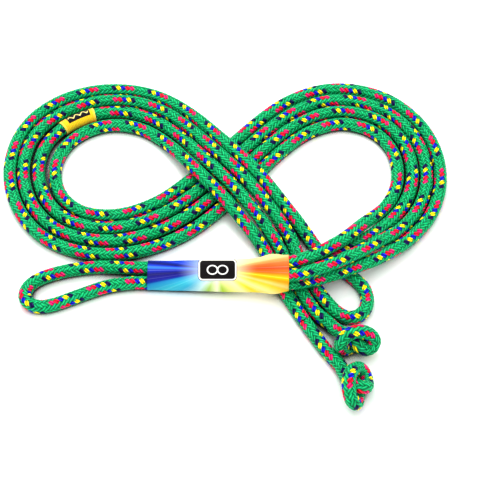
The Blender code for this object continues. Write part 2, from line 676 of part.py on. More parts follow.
def cover_solid(outer, hollow):
    """six-sided tube with a four-sided hollow, closed by a rim at each end."""
    count = len(outer)
    inside = count * 6
    faces = []
    for k in range(count - 1):
        near, far = k * 6, (k + 1) * 6
        for q in range(6):
            w = (q + 1) % 6
            faces.append((near + q, near + w, far + w, far + q))
        near, far = inside + k * 4, inside + (k + 1) * 4
        for q in range(4):
            w = (q + 1) % 4
            faces.append((near + w, near + q, far + q, far + w))
    for k, flip in ((0, True), (count - 1, False)):
        a, b = k * 6, inside + k * 4
        rim = [(a, a + 1, b), (a + 1, a + 2, b + 1, b), (a + 2, a + 3, b + 1),
               (a + 3, b + 2, b + 1), (a + 3, a + 4, b + 2), (a + 4, a + 5, b + 3, b + 2),
               (a + 5, a, b + 3), (a, b, b + 3)]
        faces += [tuple(reversed(face)) for face in rim] if flip else rim
    return np.vstack(outer + hollow), faces


def consistent(faces):
    """faces turned, edge by edge, to agree with the first one."""
    by_edge = {}
    for k, face in enumerate(faces):
        for a, b in zip(face, face[1:] + face[:1]):
            by_edge.setdefault((min(a, b), max(a, b)), []).append(k)
    seen, out, stack = {0}, list(faces), [0]
    while stack:
        face = out[stack.pop()]
        for a, b in zip(face, face[1:] + face[:1]):
            for k in by_edge[(min(a, b), max(a, b))]:
                if k in seen:
                    continue
                other = out[k]
                if (a, b) in zip(other, other[1:] + other[:1]):
                    out[k] = tuple(reversed(other))
                seen.add(k)
                stack.append(k)
    return out


def sheet(under, over):
    """closed slab between two grids of points."""
    rows, columns = len(under), len(under[0])
    size = rows * columns
    faces = []
    for i in range(rows - 1):
        for j in range(columns - 1):
            a, b = i * columns + j, (i + 1) * columns + j
            quad = (a, a + 1, b + 1, b)
            faces += [quad, tuple(size + k for k in quad)]
    for i in range(rows - 1):
        for j in (0, columns - 1):
            a, b = i * columns + j, (i + 1) * columns + j
            faces.append((a, b, size + b, size + a))
    for j in range(columns - 1):
        for i in (0, rows - 1):
            a = i * columns + j
            faces.append((a, a + 1, size + a + 1, size + a))
    return np.vstack([*under, *over]), consistent(faces)


def sleeve(inner, outer):
    """open-ended tube with a wall between two rows of rings."""
    size, count = len(inner[0]), len(inner)
    outside = count * size
    faces = []
    for k in range(count - 1):
        near, far = k * size, (k + 1) * size
        for q in range(size):
            w = (q + 1) % size
            quad = (near + q, far + q, far + w, near + w)
            faces += [quad, tuple(outside + corner for corner in quad)]
    for k in (0, count - 1):
        for q in range(size):
            a, b = k * size + q, k * size + (q + 1) % size
            faces.append((a, b, outside + b, outside + a))
    return np.vstack(inner + outer), consistent(faces)


# ---------------------------------------------------------------- rope
# strands crossing at the band's right end are pressed flatter, with the paper between them
BAND_PRESS = .10       # extra flattening
PRESS_MIDDLE, PRESS_REACH, PRESS_TOP = (37, -108), (15, 20), 21
PRESS_SMOOTHING = 2.0
CUT_OVERRUN = 6        # points beyond its own ends in which a run is looked for at a cut
END_CLEARANCE = 1.2    # least number of points between a section and a cut
SIDE_POINTS = 3        # points from a cut at which its side is read
# melted ends: distance beyond the cover and size against it
MELTED_RINGS = ((PIECE_GAP, .86), (1.1, .86), (1.8, .6))

# lengths of rope in order: name, body, then the cut it begins at, the run that passes the cut
# and which of the run's passes it is
LENGTHS = [
    ('knot_2', 'knot_2', None, None, 0),
    ('tail_4', 'tail_4', CUT_KNOT_2, 'tail_4', 0),
    ('strand_4_middle', 'base', CUT_TAIL_4, 'tail_4', 0),
    ('strand_4_left_loop', 'left_loop', CUT_LEFT, 'strand_4', 0),
    ('strand_4_crossing', 'base', CUT_LEFT, 'strand_4', 1),
    ('strand_4_right_loop', 'right_loop', CUT_RIGHT, 'strand_4', 0),
    ('strand_4_banded', 'base', CUT_RIGHT, 'strand_4', 1),
    ('bight_b', 'bight_b', CUT_BIGHT_B, 'bight_b', 0),
    ('strand_1_banded', 'base', CUT_BIGHT_B, 'bight_b', 1),
    ('strand_1_right_loop', 'right_loop', CUT_RIGHT, 'strand_1', 0),
    ('strand_1_crossing', 'base', CUT_RIGHT, 'strand_1', 1),
    ('strand_1_left_loop', 'left_loop', CUT_LEFT, 'strand_1', 1),
    ('strand_1_middle', 'base', CUT_LEFT, 'strand_1', 2),
    ('bight_a', 'bight_a', CUT_BIGHT_A, 'bight_a', 0),
    ('strand_2_middle', 'base', CUT_BIGHT_A, 'bight_a', 1),
    ('strand_2_left_loop', 'left_loop', CUT_LEFT, 'strand_2', 0),
    ('strand_2_crossing', 'base', CUT_LEFT, 'strand_2', 1),
    ('strand_2_right_loop', 'right_loop', CUT_RIGHT, 'strand_2', 0),
    ('strands_2_3_banded', 'base', CUT_RIGHT, 'strand_2', 1),
    ('strand_3_right_loop', 'right_loop', CUT_RIGHT, 'strand_3', 0),
    ('strand_3_crossing', 'base', CUT_RIGHT, 'strand_3', 1),
    ('strand_3_left_loop', 'left_loop', CUT_LEFT, 'strand_3', 0),
    ('strand_3_middle', 'base', CUT_LEFT, 'strand_3', 1),
    ('knot_1', 'tail_3', CUT_TAIL_3, 'tail_3', 0),
]


class Rope:
    """the settled line; places on it are counted in points from the cut end of knot 2."""

    def __init__(self):
        line, self.label = rope_line()
        settled = settle(line, np.where(self.label == 'bight_c')[0])
        self.points, height, self.width, self.diameter = settled
        self.tangent, self.side, self.up = frames(self.points, self.label)
        self.plan = ring_plan(self.points, self.tangent, self.label)
        x, y, z = self.points.T
        pressed = ((np.abs(x - PRESS_MIDDLE[0]) < PRESS_REACH[0])
                   & (np.abs(y - PRESS_MIDDLE[1]) < PRESS_REACH[1]) & (z < PRESS_TOP))
        self.height = height * (1 - BAND_PRESS * smooth(pressed.astype(float),
                                                        PRESS_SMOOTHING))

    def crossing(self, cut, run, which):
        """fractional place at which a run passes a cut for the which-th time."""
        (x, y), direction = cut
        own = np.where(self.label == run)[0]
        index = np.arange(max(0, own[0] - CUT_OVERRUN),
                          min(len(self.points), own[-1] + CUT_OVERRUN + 1))
        from_x, from_y = self.points[index, 0] - x, self.points[index, 1] - y
        beyond = from_x * direction[0] + from_y * direction[1]
        near = np.hypot(from_x, from_y) < CUT_REACH
        hits = [index[k] + beyond[k] / (beyond[k] - beyond[k + 1])
                for k in range(len(index) - 1)
                if (beyond[k] < 0) != (beyond[k + 1] < 0) and near[k]]
        return hits[which]

    def side_of(self, cut, k):
        """1 if point k lies on the moving side of the cut, else -1."""
        offset = self.points[k, :2] - np.array(cut.point)
        return 1 if offset @ np.array(cut.direction) > 0 else -1

    def half_width(self, k):
        return self.diameter[k] / 2 * self.width[k] * COVER_W

    def half_height(self, k):
        return self.diameter[k] / 2 * self.height[k] * COVER_H

    def ring(self, k, widen=0.0, heighten=0.0, scale=1.0):
        """outside of the cover."""
        return hexagon(self.points[k], self.side[k], self.up[k],
                       self.half_width(k) * scale + widen,
                       self.half_height(k) * scale + heighten)

    def hollow(self, k, shrink=0.0):
        """inside of the cover."""
        return rectangle(self.points[k],
                         self.side[k] * (self.half_width(k) * CORE_W - shrink),
                         self.up[k] * (self.half_height(k) * CORE_H - shrink))

    def core(self, k):
        return self.hollow(k, CORE_AIR)

    def section(self, shape, place, cut, cut_side):
        """shape at a place; with a cut it is mitred to lie beside the cut plane."""
        k = int(round(place))
        corners = shape(k)
        if cut is None:
            return corners
        normal = np.array([*cut.direction, 0.0])
        normal /= np.linalg.norm(normal)
        base = np.array([*cut.point, 0.0]) + normal * cut_side * PIECE_GAP / 2
        tangent = self.tangent[k]
        reach = ((base - corners) @ normal) / (tangent @ normal)
        return corners + tangent * reach[:, None]


def build_length(rope, name, body, start, start_cut, end, end_cut):
    """one length of rope: a hollow cover and a core inside it."""
    start_side = end_side = 0
    if start_cut is not None:
        start_side = rope.side_of(start_cut, int(start) + SIDE_POINTS)
    if end_cut is not None:
        end_side = rope.side_of(end_cut, int(end) - SIDE_POINTS)
    between = [(k, None, 0) for k in rope.plan
               if start + END_CLEARANCE < k < end - END_CLEARANCE]
    places = [(start, start_cut, start_side), *between, (end, end_cut, end_side)]
    outer, hollow, core = ([rope.section(shape, *place) for place in places]
                           for shape in (rope.ring, rope.hollow, rope.core))
    solid('cover_' + name, *cover_solid(outer, hollow), COVER_FINISH, body)
    solid('core_' + name, *rod(core), CORE_FINISH, body)


def build_lengths(rope):
    """all lengths of rope; gives the places each begins and ends at."""
    starts = [0.0 if cut is None else rope.crossing(cut, run, which)
              for _, _, cut, run, which in LENGTHS]
    cuts = [row[2] for row in LENGTHS] + [None]
    starts.append(float(len(rope.points) - 1))
    spans = {}
    for k, (name, body, *_) in enumerate(LENGTHS):
        build_length(rope, name, body, starts[k], cuts[k], starts[k + 1], cuts[k + 1])
        spans[name] = (starts[k], starts[k + 1])
    return spans


def build_melted_end(rope, name, k, outward, body):
    """plug of fused yarn closing cover and core."""
    away = rope.tangent[k] * outward
    rings = [rope.ring(k, scale=scale) + away * distance for distance, scale in MELTED_RINGS]
    solid(name, *rod(rings), MELTED_FINISH, body)


# ---------------------------------------------------------------- paper band
PAPER = .20            # thickness of the paper
BAND_CORNER = 3.5      # its inside corner radius
CORNER_ANGLES = (0, 30, 60, 90)
BAND_X = (45.0, 41.0, 37.0, 33.0, 29.0, 20.0, 8.0, -5.0, -19.0, -33.0, -46.0, -59.0, -72.0)
BAND_Y = (-135, -80)   # strands between these are inside it
FRONT_STRAND_Y = -109  # the front strand lies in front of this
STATION_MARGIN = 1.4   # added to half a station's length when its strands are read
BAND_FOOT = 9.2        # width of the front strand's foot on the underside
BAND_STEP_X = (8.0, 29.0)        # between these x the step behind that foot
BAND_STEP_Y = (-104.0, -111.2)   # goes from the first y to the second
STEP_LEAST = 1.0       # least width of that step
BAND_LIFT_X = (12.0, 29.0)       # the underside climbs to the rear strand's level over this
BAND_LEVEL_X = 41      # station that gives the rear strand's level
BAND_AIR = .30         # air between strands and band at the sides and on top
BAND_AIR_UNDER = .25   # and underneath
BAND_FLOOR = .60       # lowest its inside reaches
LAP = 3                # points of its outline by which the strip laps over its start
GLUE_INSET = .4        # how far the glue stops short, as a share of the outline's end spans


def band_extents(rope, spans):
    """strands inside the band at each station: back, front, top, bottom of the front strand
    and bottom of the strands behind it."""
    banded = [span for name, span in spans.items()
              if name.endswith('banded') or name == 'bight_b']
    station_x = np.asarray(BAND_X)
    out = []
    for x, reach in zip(BAND_X, np.abs(np.gradient(station_x)) / 2 + STATION_MARGIN):
        backs, fronts, tops, front_lows, rear_lows = [], [], [], [], []
        for start, end in banded:
            for k in range(int(start), int(end) + 1):
                point_x, point_y, point_z = rope.points[k]
                if abs(point_x - x) > reach or not BAND_Y[0] < point_y < BAND_Y[1]:
                    continue
                backs.append(point_y + rope.half_width(k))
                fronts.append(point_y - rope.half_width(k))
                tops.append(point_z + rope.half_height(k))
                lows = front_lows if point_y < FRONT_STRAND_Y else rear_lows
                lows.append(point_z - rope.half_height(k))
        out.append([max(backs), min(fronts), max(tops), min(front_lows),
                    min(rear_lows, default=1e9)])
    out = np.array(out)
    # towards the left the underside falls from the rear strand's level to the front one's
    lift = np.clip((station_x - BAND_LIFT_X[0]) / (BAND_LIFT_X[1] - BAND_LIFT_X[0]), 0, 1)
    level = out[np.argmin(np.abs(station_x - BAND_LEVEL_X)), 4]
    out[:, 4] = np.minimum(out[:, 3] * (1 - lift) + level * lift,
                           np.minimum(out[:, 4], level))
    return out


def band_outline(back, front, top, front_low, rear_low, step_y):
    """rounded box round the strands as (y, z) with its outward directions, from the middle of
    the back side over the top and round to the start."""
    points, outward = [(back, (top + rear_low) / 2)], [(1.0, 0.0)]

    def corner(y, z, first_angle):
        for turn in CORNER_ANGLES:
            angle = math.radians(first_angle + turn)
            points.append((y + BAND_CORNER * math.cos(angle), z + BAND_CORNER * math.sin(angle)))
            outward.append((math.cos(angle), math.sin(angle)))

    corner(back - BAND_CORNER, top - BAND_CORNER, 0)
    corner(front + BAND_CORNER, top - BAND_CORNER, 90)
    corner(front + BAND_CORNER, front_low + BAND_CORNER, 180)
    foot = front + BAND_FOOT
    points += [(foot, front_low), (max(step_y, foot + STEP_LEAST), rear_low)]
    outward += [(0.0, -1.0), (0.0, -1.0)]
    corner(back - BAND_CORNER, rear_low + BAND_CORNER, 270)
    return np.array(points + points[:1]), np.array(outward + outward[:1])


def offset_outline(x, line, outward, offset):
    """outline at station x, moved outwards by one offset or by one for each point."""
    moved = line + outward * np.asarray(offset).reshape(-1, 1)
    return np.column_stack([np.full(len(line), x), moved])


def glue_row(x, line, outward, offset):
    """part of the outline under the lap, stopping short of both its ends."""
    row = offset_outline(x, line[:LAP + 1], outward[:LAP + 1], offset)
    keep = 1 - GLUE_INSET
    return np.stack([row[0] * keep + row[1] * GLUE_INSET, *row[1:LAP],
                     row[LAP - 1] * GLUE_INSET + row[LAP] * keep])


def build_band(rope, spans):
    """strip of paper once round the bundle, lapped at the back over a layer of glue."""
    inner, outer, glue_inner, glue_outer = [], [], [], []
    for x, (back, front, top, front_low, rear_low) in zip(BAND_X, band_extents(rope, spans)):
        points, directions = band_outline(
            back + BAND_AIR, front - BAND_AIR, top + BAND_AIR,
            max(front_low - BAND_AIR_UNDER, BAND_FLOOR),
            max(rear_low - BAND_AIR_UNDER, BAND_FLOOR),
            np.interp(x, BAND_STEP_X, BAND_STEP_Y))
        line = np.vstack([points, points[1:LAP + 1]])
        outward = np.vstack([directions, directions[1:LAP + 1]])
        lift = np.zeros(len(line))
        lift[len(points) - 1:] = PAPER + 3 * PIECE_GAP
        inner.append(offset_outline(x, line, outward, lift))
        outer.append(offset_outline(x, line, outward, lift + PAPER))
        glue_inner.append(glue_row(x, line, outward, PAPER + PIECE_GAP))
        glue_outer.append(glue_row(x, line, outward, PAPER + 2 * PIECE_GAP))
    solid('paper_band', *sheet(inner, outer), PAPER_FINISH)
    solid('band_glue', *sheet(glue_inner[1:-1], glue_outer[1:-1]), GLUE_FINISH)


# ---------------------------------------------------------------- woven tag
TAG_MIDDLE = (-141.5, 63.0)   # middle of the tag as sighted
TAG_LENGTH = 32.0
TAG_THICKNESS = .55
TAG_AIR_W, TAG_AIR_H = .35, .25   # air between strand and tag, sideways and in height
THREAD = .55           # thickness of the stitching thread
THREAD_AIR = .30       # air between tag and thread
ZIGZAG = (-.1, 1.1)    # the thread's side offsets, in turn


def tag_span(rope):
    """first and last point of strand 3 under the woven tag."""
    index = np.where(rope.label == 'strand_3')[0]
    middle = sight(*TAG_MIDDLE, ROPE_D * .5)
    k = index[np.argmin(np.linalg.norm(rope.points[index] - middle, axis=1))]
    half = int(round(TAG_LENGTH / 2 / STEP))
    return k - half, k + half


def build_tag(rope, first, last):
    """sleeve round strand 3 on the left loop."""
    places = [first, (first * 2 + last) // 3, (first + last * 2) // 3, last]
    inner, outer = ([rope.ring(k, TAG_AIR_W + grow, TAG_AIR_H + grow) for k in places]
                    for grow in (0, TAG_THICKNESS))
    solid('woven_tag', *sleeve(inner, outer), TAG_FINISH, 'left_loop')


def build_stitching(rope, first, last):
    """zigzag of square thread along the top of the tag."""
    points = []
    steps = 2 * (last - first) - 4
    for m in range(steps + 1):
        place = first + 1 + (last - first - 2) * m / steps
        k = int(place)
        part = place - k
        centre = rope.points[k] * (1 - part) + rope.points[k + 1] * part
        rise = rope.half_height(k) + TAG_AIR_H + TAG_THICKNESS + THREAD_AIR + THREAD / 2
        points.append(centre + rope.up[k] * rise + rope.side[k] * ZIGZAG[m % 2])
    rings = []
    for m, centre in enumerate(points):
        tangent = points[min(m + 1, len(points) - 1)] - points[max(m - 1, 0)]
        tangent /= np.linalg.norm(tangent)
        side = np.cross(tangent, [0, 0, 1.])
        side /= np.linalg.norm(side)
        up = np.cross(side, tangent)
        rings.append(rectangle(centre, side * THREAD / 2, up * THREAD / 2))
    solid('tag_stitching', *rod(rings), THREAD_FINISH, 'left_loop')


def main():
    for piece in list(bpy.data.objects):
        bpy.data.objects.remove(piece, do_unlink=True)
    rope = Rope()
    spans = build_lengths(rope)
    build_melted_end(rope, 'melted_end_2', 0, -1, 'knot_2')
    build_melted_end(rope, 'melted_end_1', len(rope.points) - 1, 1, 'tail_3')
    build_band(rope, spans)
    first, last = tag_span(rope)
    build_tag(rope, first, last)
    build_stitching(rope, first, last)


main()
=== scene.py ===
import math

import bpy
import numpy as np
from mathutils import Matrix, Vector
from numpy.linalg import norm


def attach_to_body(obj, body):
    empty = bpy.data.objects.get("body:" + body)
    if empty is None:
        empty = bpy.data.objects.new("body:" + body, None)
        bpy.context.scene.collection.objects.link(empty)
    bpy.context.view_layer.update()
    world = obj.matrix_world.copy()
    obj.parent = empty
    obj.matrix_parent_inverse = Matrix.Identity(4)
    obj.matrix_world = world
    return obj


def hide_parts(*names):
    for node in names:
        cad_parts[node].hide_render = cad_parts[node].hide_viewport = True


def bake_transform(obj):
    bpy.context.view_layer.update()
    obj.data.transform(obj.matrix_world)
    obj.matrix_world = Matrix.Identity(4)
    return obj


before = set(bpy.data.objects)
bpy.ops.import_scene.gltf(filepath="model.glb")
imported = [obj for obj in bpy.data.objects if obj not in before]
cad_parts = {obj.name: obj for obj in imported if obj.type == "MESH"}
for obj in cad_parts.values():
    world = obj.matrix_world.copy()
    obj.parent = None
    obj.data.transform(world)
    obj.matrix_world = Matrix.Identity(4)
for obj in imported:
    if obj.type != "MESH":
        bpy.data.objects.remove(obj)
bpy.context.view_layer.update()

# ---------------------------------------------------------------- driving dimensions (mm)
LAY_SCALE = 0.995
ORIGIN = (-8.80, -62.31, .395)          # point of the scaled lay that is the world's origin
ROPE_D = 11.6                           # rope diameter
AIR = 0.40                              # air left between strands that touch
EYE = np.array([13.2, -689.2, 948.1])   # point the lay was sighted from
SIGHT_Z = 6.0                           # height of the plane the sighted positions are given on
STEP = 2.5                              # spacing of points along the rope

# middle line of the four strands, as sighted: x, y
GUIDE = [
    (64, -123), (57, -102), (49, -83), (40, -62), (28, -41), (9, -12), (-15, 18), (-46, 49),
    (-76, 71), (-105, 79), (-134, 76), (-160, 59), (-176, 33), (-180, 1), (-170, -28), (-148, -50),
    (-123, -59), (-98, -60), (-72, -53), (-47, -39), (-23, -17), (0, 9), (26, 38), (58, 65),
    (95, 79), (126, 72), (148, 51), (159, 25), (161, -4), (154, -29), (139, -49), (120, -63),
    (101, -75), (76, -90), (55, -99), (30, -102), (5, -103), (-29, -103), (-70, -103), (-104, -102)]
GUIDE_STEP = .5

# sighted side offsets of the strands from the guide: run along guide, strand 4, 3, 2, 1
SIDE = np.array([
    (45, 18.6, 6.8, -5.0, -21.4), (60, 19.9, 7.0, -6.2, -19.4), (80, 20.5, 7.4, -6.0, -18.1),
    (100, 21.1, 7.3, -6.1, -17.8), (140, 21.8, 7.4, -6.1, -18.3), (160, 21.7, 8.0, -5.2, -17.9),
    (180, 21.2, 8.0, -5.0, -17.1), (200, 19.7, 6.6, -6.0, -18.1), (220, 19.4, 6.1, -6.8, -18.9),
    (260, 21.4, 7.0, -6.4, -18.8), (280, 22.6, 7.6, -6.2, -18.3), (300, 24.3, 9.2, -5.0, -18.0),
    (320, 24.6, 9.3, -5.7, -19.1), (340, 23.9, 7.8, -7.1, -20.2), (360, 23.1, 7.0, -7.4, -19.9),
    (380, 22.4, 7.3, -6.6, -18.0), (400, 21.8, 7.5, -5.9, -16.9), (420, 20.9, 7.5, -5.6, -17.4),
    (440, 19.1, 6.1, -6.8, -19.1), (460, 18.1, 5.3, -7.9, -20.8), (480, 17.3, 4.9, -8.0, -21.6),
    (500, 18.0, 5.1, -8.0, -21.5), (540, 19.4, 6.3, -7.4, -21.9), (580, 20.4, 7.3, -6.5, -20.9),
    (620, 19.5, 6.8, -6.4, -19.8), (660, 18.5, 6.4, -6.4, -19.0), (700, 20.3, 7.6, -5.1, -18.0),
    (720, 21.3, 8.5, -4.9, -18.4), (740, 21.1, 8.4, -5.4, -19.6), (760, 19.1, 6.1, -6.9, -20.9),
    (780, 18.4, 5.3, -7.3, -21.3), (800, 18.3, 6.0, -6.1, -19.9), (840, 19.0, 7.3, -4.9, -17.6),
    (860, 19.0, 7.4, -5.4, -18.4), (900, 18.8, 6.6, -5.9, -18.4), (920, 19.6, 7.4, -5.6, -16.6),
    (940, 19.5, 7.4, -5.2, -14.0), (960, 18.8, 7.0, -4.8, -12.2), (980, 17.2, 5.6, -4.3, -10.8),
    (1000, 13.7, 3.7, -3.9, -10.3), (1025, 10.7, 3.3, -3.9, -10.1), (1050, 9.8, 3.3, -3.4, -9.8),
    (1064, 9.2, 3.3, -3.0, -9.4), (1110, 7.8, 3.3, -3.0, -8.2), (1147, 6.8, 3.3, -3.0, -7.4),
    (1165, 6.8, 3.3, -3.0, -7.6)])

# heights of the strand centres, by strand: run along guide, height in rope diameters
RISE = {
    4: [(45, .47), (56, .5), (98, 1.34), (174, 1.34), (216, .5), (575, .5), (600, .45), (645, .45),
        (670, .5), (918, .5), (966, 1.29), (1030, 1.29), (1058, 1.1), (1140, .545), (1180, .54)],
    3: [(45, .44), (56, .5), (100, 1.34), (175, 1.34), (217, .5), (280, .5), (294, .59), (334, .59),
        (348, .5), (575, .5), (600, .45), (645, .45), (670, .5), (922, .5), (975, 2.14),
        (1030, 2.14), (1064, 1.89)],
    2: [(45, .44), (58, .5), (104, 1.34), (176, 1.34), (218, .5), (575, .5), (600, .45), (645, .45),
        (670, .5), (918, .5), (966, 1.29), (1030, 1.29), (1064, 1.04)],
    1: [(45, .44), (60, .5), (110, 1.34), (178, 1.34), (222, .5), (575, .5), (600, .45), (645, .45),
        (670, .5), (922, .5), (975, 2.14), (1030, 2.14), (1058, 2.0), (1140, .56), (1180, .54)]}

# folds and tails, as sighted: x, y, height in rope diameters
BIGHT_B = [
    (-91, -95.0, .54), (-112, -94.3, .52), (-130, -96.2, .5), (-148, -100.4, .52),
    (-163, -106.6, .55), (-172, -115.5, .56), (-172.5, -126, .55), (-163.5, -133, .52),
    (-150, -131.6, .5), (-135, -125.6, .5), (-118, -118.2, .5), (-104, -113.0, .52),
    (-90, -110.4, .54)]
BIGHT_A = [
    (76, -85, .44), (88, -94.5, .46), (99, -104.5, .5), (107.5, -114.5, .5), (110.3, -125.5, .5),
    (107.8, -136.2, .5), (100.5, -143, .5), (91, -143, .5), (82, -135.8, .5), (74.5, -125.5, .5),
    (67.5, -113.5, .48), (60, -98, .44), (53.5, -84, .44)]
TAIL_3 = [(43.5, -92, .44), (49, -104, .46), (55.8, -117.8, .5), (61.5, -129, .5), (66.5, -137.5, .5)]
TAIL_4 = [(32.5, -96, .47), (37, -107, .5), (42.2, -118.1, .5), (51, -134.8, .5), (61.2, -152.6, .5),
          (69, -165.1, .5), (75.5, -175, .5)]

KNOT_D = 10.4          # rope diameter where the knots squeeze it
KNOT_BEND = 7.2        # tightest bend radius of the middle line inside a knot
KNOT_STEP = 2.0
KNOT_1_MIDDLE, KNOT_2_MIDDLE = (100.4, -163.2), (94.8, -207.0)
# run of the rope round the middle of a knot: sighted x and y offset, height in KNOT_D
KNOT_1 = [
    (-22, 14, .55), (-15, 5, .75), (-7, -3, 1.15), (0, -9, .95), (9, -12.5, .6), (17.5, -9, .8),
    (20.5, -2, 1.35), (14.5, 5.5, 1.9), (4, 8, 2.15), (-6, 5.5, 2.1), (-13, -1, 1.7),
    (-14.5, -8.5, 1.05), (-9, -11, .55), (-2, -6, .5), (4, -2, .6)]
KNOT_2_LEAD = [(-11.5, 21.5, .55), (-5.5, 11.5, .7)]
KNOT_2_TURN = 68.0     # degrees; past its lead the second knot is the first one turned by this

KNOT_RUN = 135         # length of rope at each end that belongs to a knot
SQUASH = .87           # height of a strand that lies under or over another, in diameters
SPREAD = 1.03          # and its width
PIN_SQUEEZE = .80      # rope diameter in the hairpin inside the paper band, in diameters


# ---------------------------------------------------------------- lines of points
def to_world(points):
    return (np.asarray(points, float) * LAY_SCALE - np.array(ORIGIN)) * .001


def unit(vectors):
    return vectors / norm(vectors, axis=-1, keepdims=True)


def interp_rows(at, known, rows):
    """np.interp on every column of rows."""
    return np.stack([np.interp(at, known, rows[:, k]) for k in range(rows.shape[1])], -1)


def spline(points):
    """Centripetal Catmull-Rom curve, 24 points to a span."""
    points = np.asarray(points, float)
    padded = np.vstack([2 * points[0] - points[1], points, 2 * points[-1] - points[-2]])

    def between(t, t_from, from_, t_to, to):
        return (t_to - t) / (t_to - t_from) * from_ + (t - t_from) / (t_to - t_from) * to

    spans = []
    for i in range(1, len(padded) - 2):
        before, start, end, after = padded[i - 1:i + 3]
        t1 = norm(start - before) ** .5
        t2 = t1 + norm(end - start) ** .5
        t3 = t2 + norm(after - end) ** .5
        t = np.linspace(t1, t2, 24, endpoint=False)[:, None]
        line_1 = between(t, 0, before, t1, start)
        line_2 = between(t, t1, start, t2, end)
        line_3 = between(t, t2, end, t3, after)
        bow_1 = between(t, 0, line_1, t2, line_2)
        bow_2 = between(t, t1, line_2, t3, line_3)
        spans.append(between(t, t1, bow_1, t2, bow_2))
    return np.vstack(spans + [points[-1:]])


def arc_length(points):
    return np.r_[0, np.cumsum(norm(np.diff(points, axis=0), axis=1))]


def resample(points, step=None, count=None):
    """Even spacing along the line, by step or by number of points."""
    length = arc_length(points)
    count = count or max(2, int(round(length[-1] / step)) + 1)
    return interp_rows(np.linspace(0, length[-1], count), length, points)


def smooth(values, sigma):
    """Gaussian blur along the first axis that keeps the end values."""
    values = np.asarray(values, float)
    reach = int(math.ceil(3 * sigma))
    kernel = np.exp(-.5 * (np.arange(-reach, reach + 1) / sigma) ** 2)
    kernel /= kernel.sum()
    flat = values.ndim == 1
    rows = values[:, None] if flat else values
    padded = np.vstack([2 * rows[:1] - rows[reach:0:-1], rows,
                        2 * rows[-1:] - rows[-2:-reach - 2:-1]])
    blurred = np.stack([np.convolve(padded[:, k], kernel, 'valid')
                        for k in range(rows.shape[1])], -1)
    return blurred[:, 0] if flat else blurred


def sight(x, y, z):
    """Point at height z on the line from the eye through the sighted point (x, y)."""
    seen = np.stack([np.asarray(x, float), np.asarray(y, float), np.full(np.shape(x), SIGHT_Z)], -1)
    t = (np.asarray(z, float) - EYE[2]) / (seen[..., 2] - EYE[2])
    return EYE + (seen - EYE) * t[..., None]


def straighten(points, reach=1):
    """Move that takes each point to the middle of its neighbours at this reach."""
    move = np.zeros_like(points)
    move[reach:-reach] = (points[:-2 * reach] + points[2 * reach:]) * .5 - points[reach:-reach]
    return move


def mean_push(count, first, second, push):
    """Average push on each point, where each push parts a pair of points."""
    total, hits = np.zeros((count, 3)), np.zeros(count)
    np.add.at(total, first, push)
    np.add.at(total, second, -push)
    np.add.at(hits, first, 1)
    np.add.at(hits, second, 1)
    return total / np.maximum(hits, 1)[:, None]


# ---------------------------------------------------------------- the lay of the rope
def guide_line():
    """Points of the guide and its sideways direction at each."""
    guide = resample(spline(GUIDE), GUIDE_STEP)
    guide = resample(smooth(guide, 12), GUIDE_STEP)
    tangent = unit(np.gradient(guide, axis=0))
    return guide, np.stack([-tangent[:, 1], tangent[:, 0]], -1)


def strand(lane, start, stop):
    """Strand 1..4 between two runs along the guide."""
    guide, sideways = guide_line()
    guide_run = np.arange(len(guide)) * GUIDE_STEP
    run = np.arange(start, stop + .1, STEP)
    fine = np.arange(30, 1180, 1.)
    rise = np.array(RISE[lane])
    offset = np.interp(run, fine, smooth(np.interp(fine, SIDE[:, 0], SIDE[:, 5 - lane]), 7))
    height = np.interp(run, fine, smooth(np.interp(fine, rise[:, 0], rise[:, 1]), 8)) * ROPE_D
    seen = (interp_rows(run, guide_run, guide)
            + offset[:, None] * interp_rows(run, guide_run, sideways))
    return sight(seen[:, 0], seen[:, 1], height)


def free_run(table):
    x, y, height = np.array(table, float).T
    return resample(spline(sight(x, y, height * ROPE_D)), STEP)


def knot_2_table():
    c, s = math.cos(math.radians(KNOT_2_TURN)), math.sin(math.radians(KNOT_2_TURN))
    return KNOT_2_LEAD + [((x * c - y * s) * .9, (x * s + y * c) * 1.05 - 1, z)
                          for x, y, z in KNOT_1[2:]]


def tighten(middle, table, rounds=500):
    """Lay a knot by its table, then let its turns push each other apart until none overlap."""
    x, y, height = np.array(table, float).T
    points = resample(spline(sight(middle[0] + x, middle[1] + y, height * KNOT_D)), KNOT_STEP)
    laid = points.copy()
    count = len(points)
    i, j = np.triu_indices(count, 4)
    # two points of one bend may be as close as the tightest allowed bend puts them
    half_angle = np.minimum((j - i) * KNOT_STEP / (2 * KNOT_BEND), math.pi / 2)
    need = np.minimum(KNOT_D + AIR, 2 * KNOT_BEND * np.sin(half_angle))
    for k in range(rounds):
        early = k < rounds * .8
        apart = points[i] - points[j]
        gap = norm(apart, axis=1)
        bad = gap < need
        push = apart[bad] / gap[bad][:, None] * ((need[bad] - gap[bad]) * .5)[:, None]
        points = points + 1.2 * smooth(mean_push(count, i[bad], j[bad], push), 1.0)
        ease = .10 if early else .04
        move = ease * straighten(points) + ease * .9 * straighten(points, 2)
        points[1:] = points[1:] + move[1:]
        if early:
            points = points + .004 * (laid - points)
        points[:, 2] = np.maximum(points[:, 2], KNOT_D / 2 + .1)
        points[0] = laid[0]
        if k % 10 == 9:
            points = resample(points, count=count)
    return points


def hairpin(start, start_way, end, end_way):
    """Round end joining two strands that point the same way."""
    radius = norm(end - start) / 2
    across = (start - end) / (2 * radius)
    forward = start_way + end_way
    forward -= across * (forward @ across)
    forward /= norm(forward)
    angle = np.linspace(0, math.pi, 14)[1:-1, None]
    return ((start + end) / 2 + across * radius * np.cos(angle)
            + forward * radius * np.sin(angle))


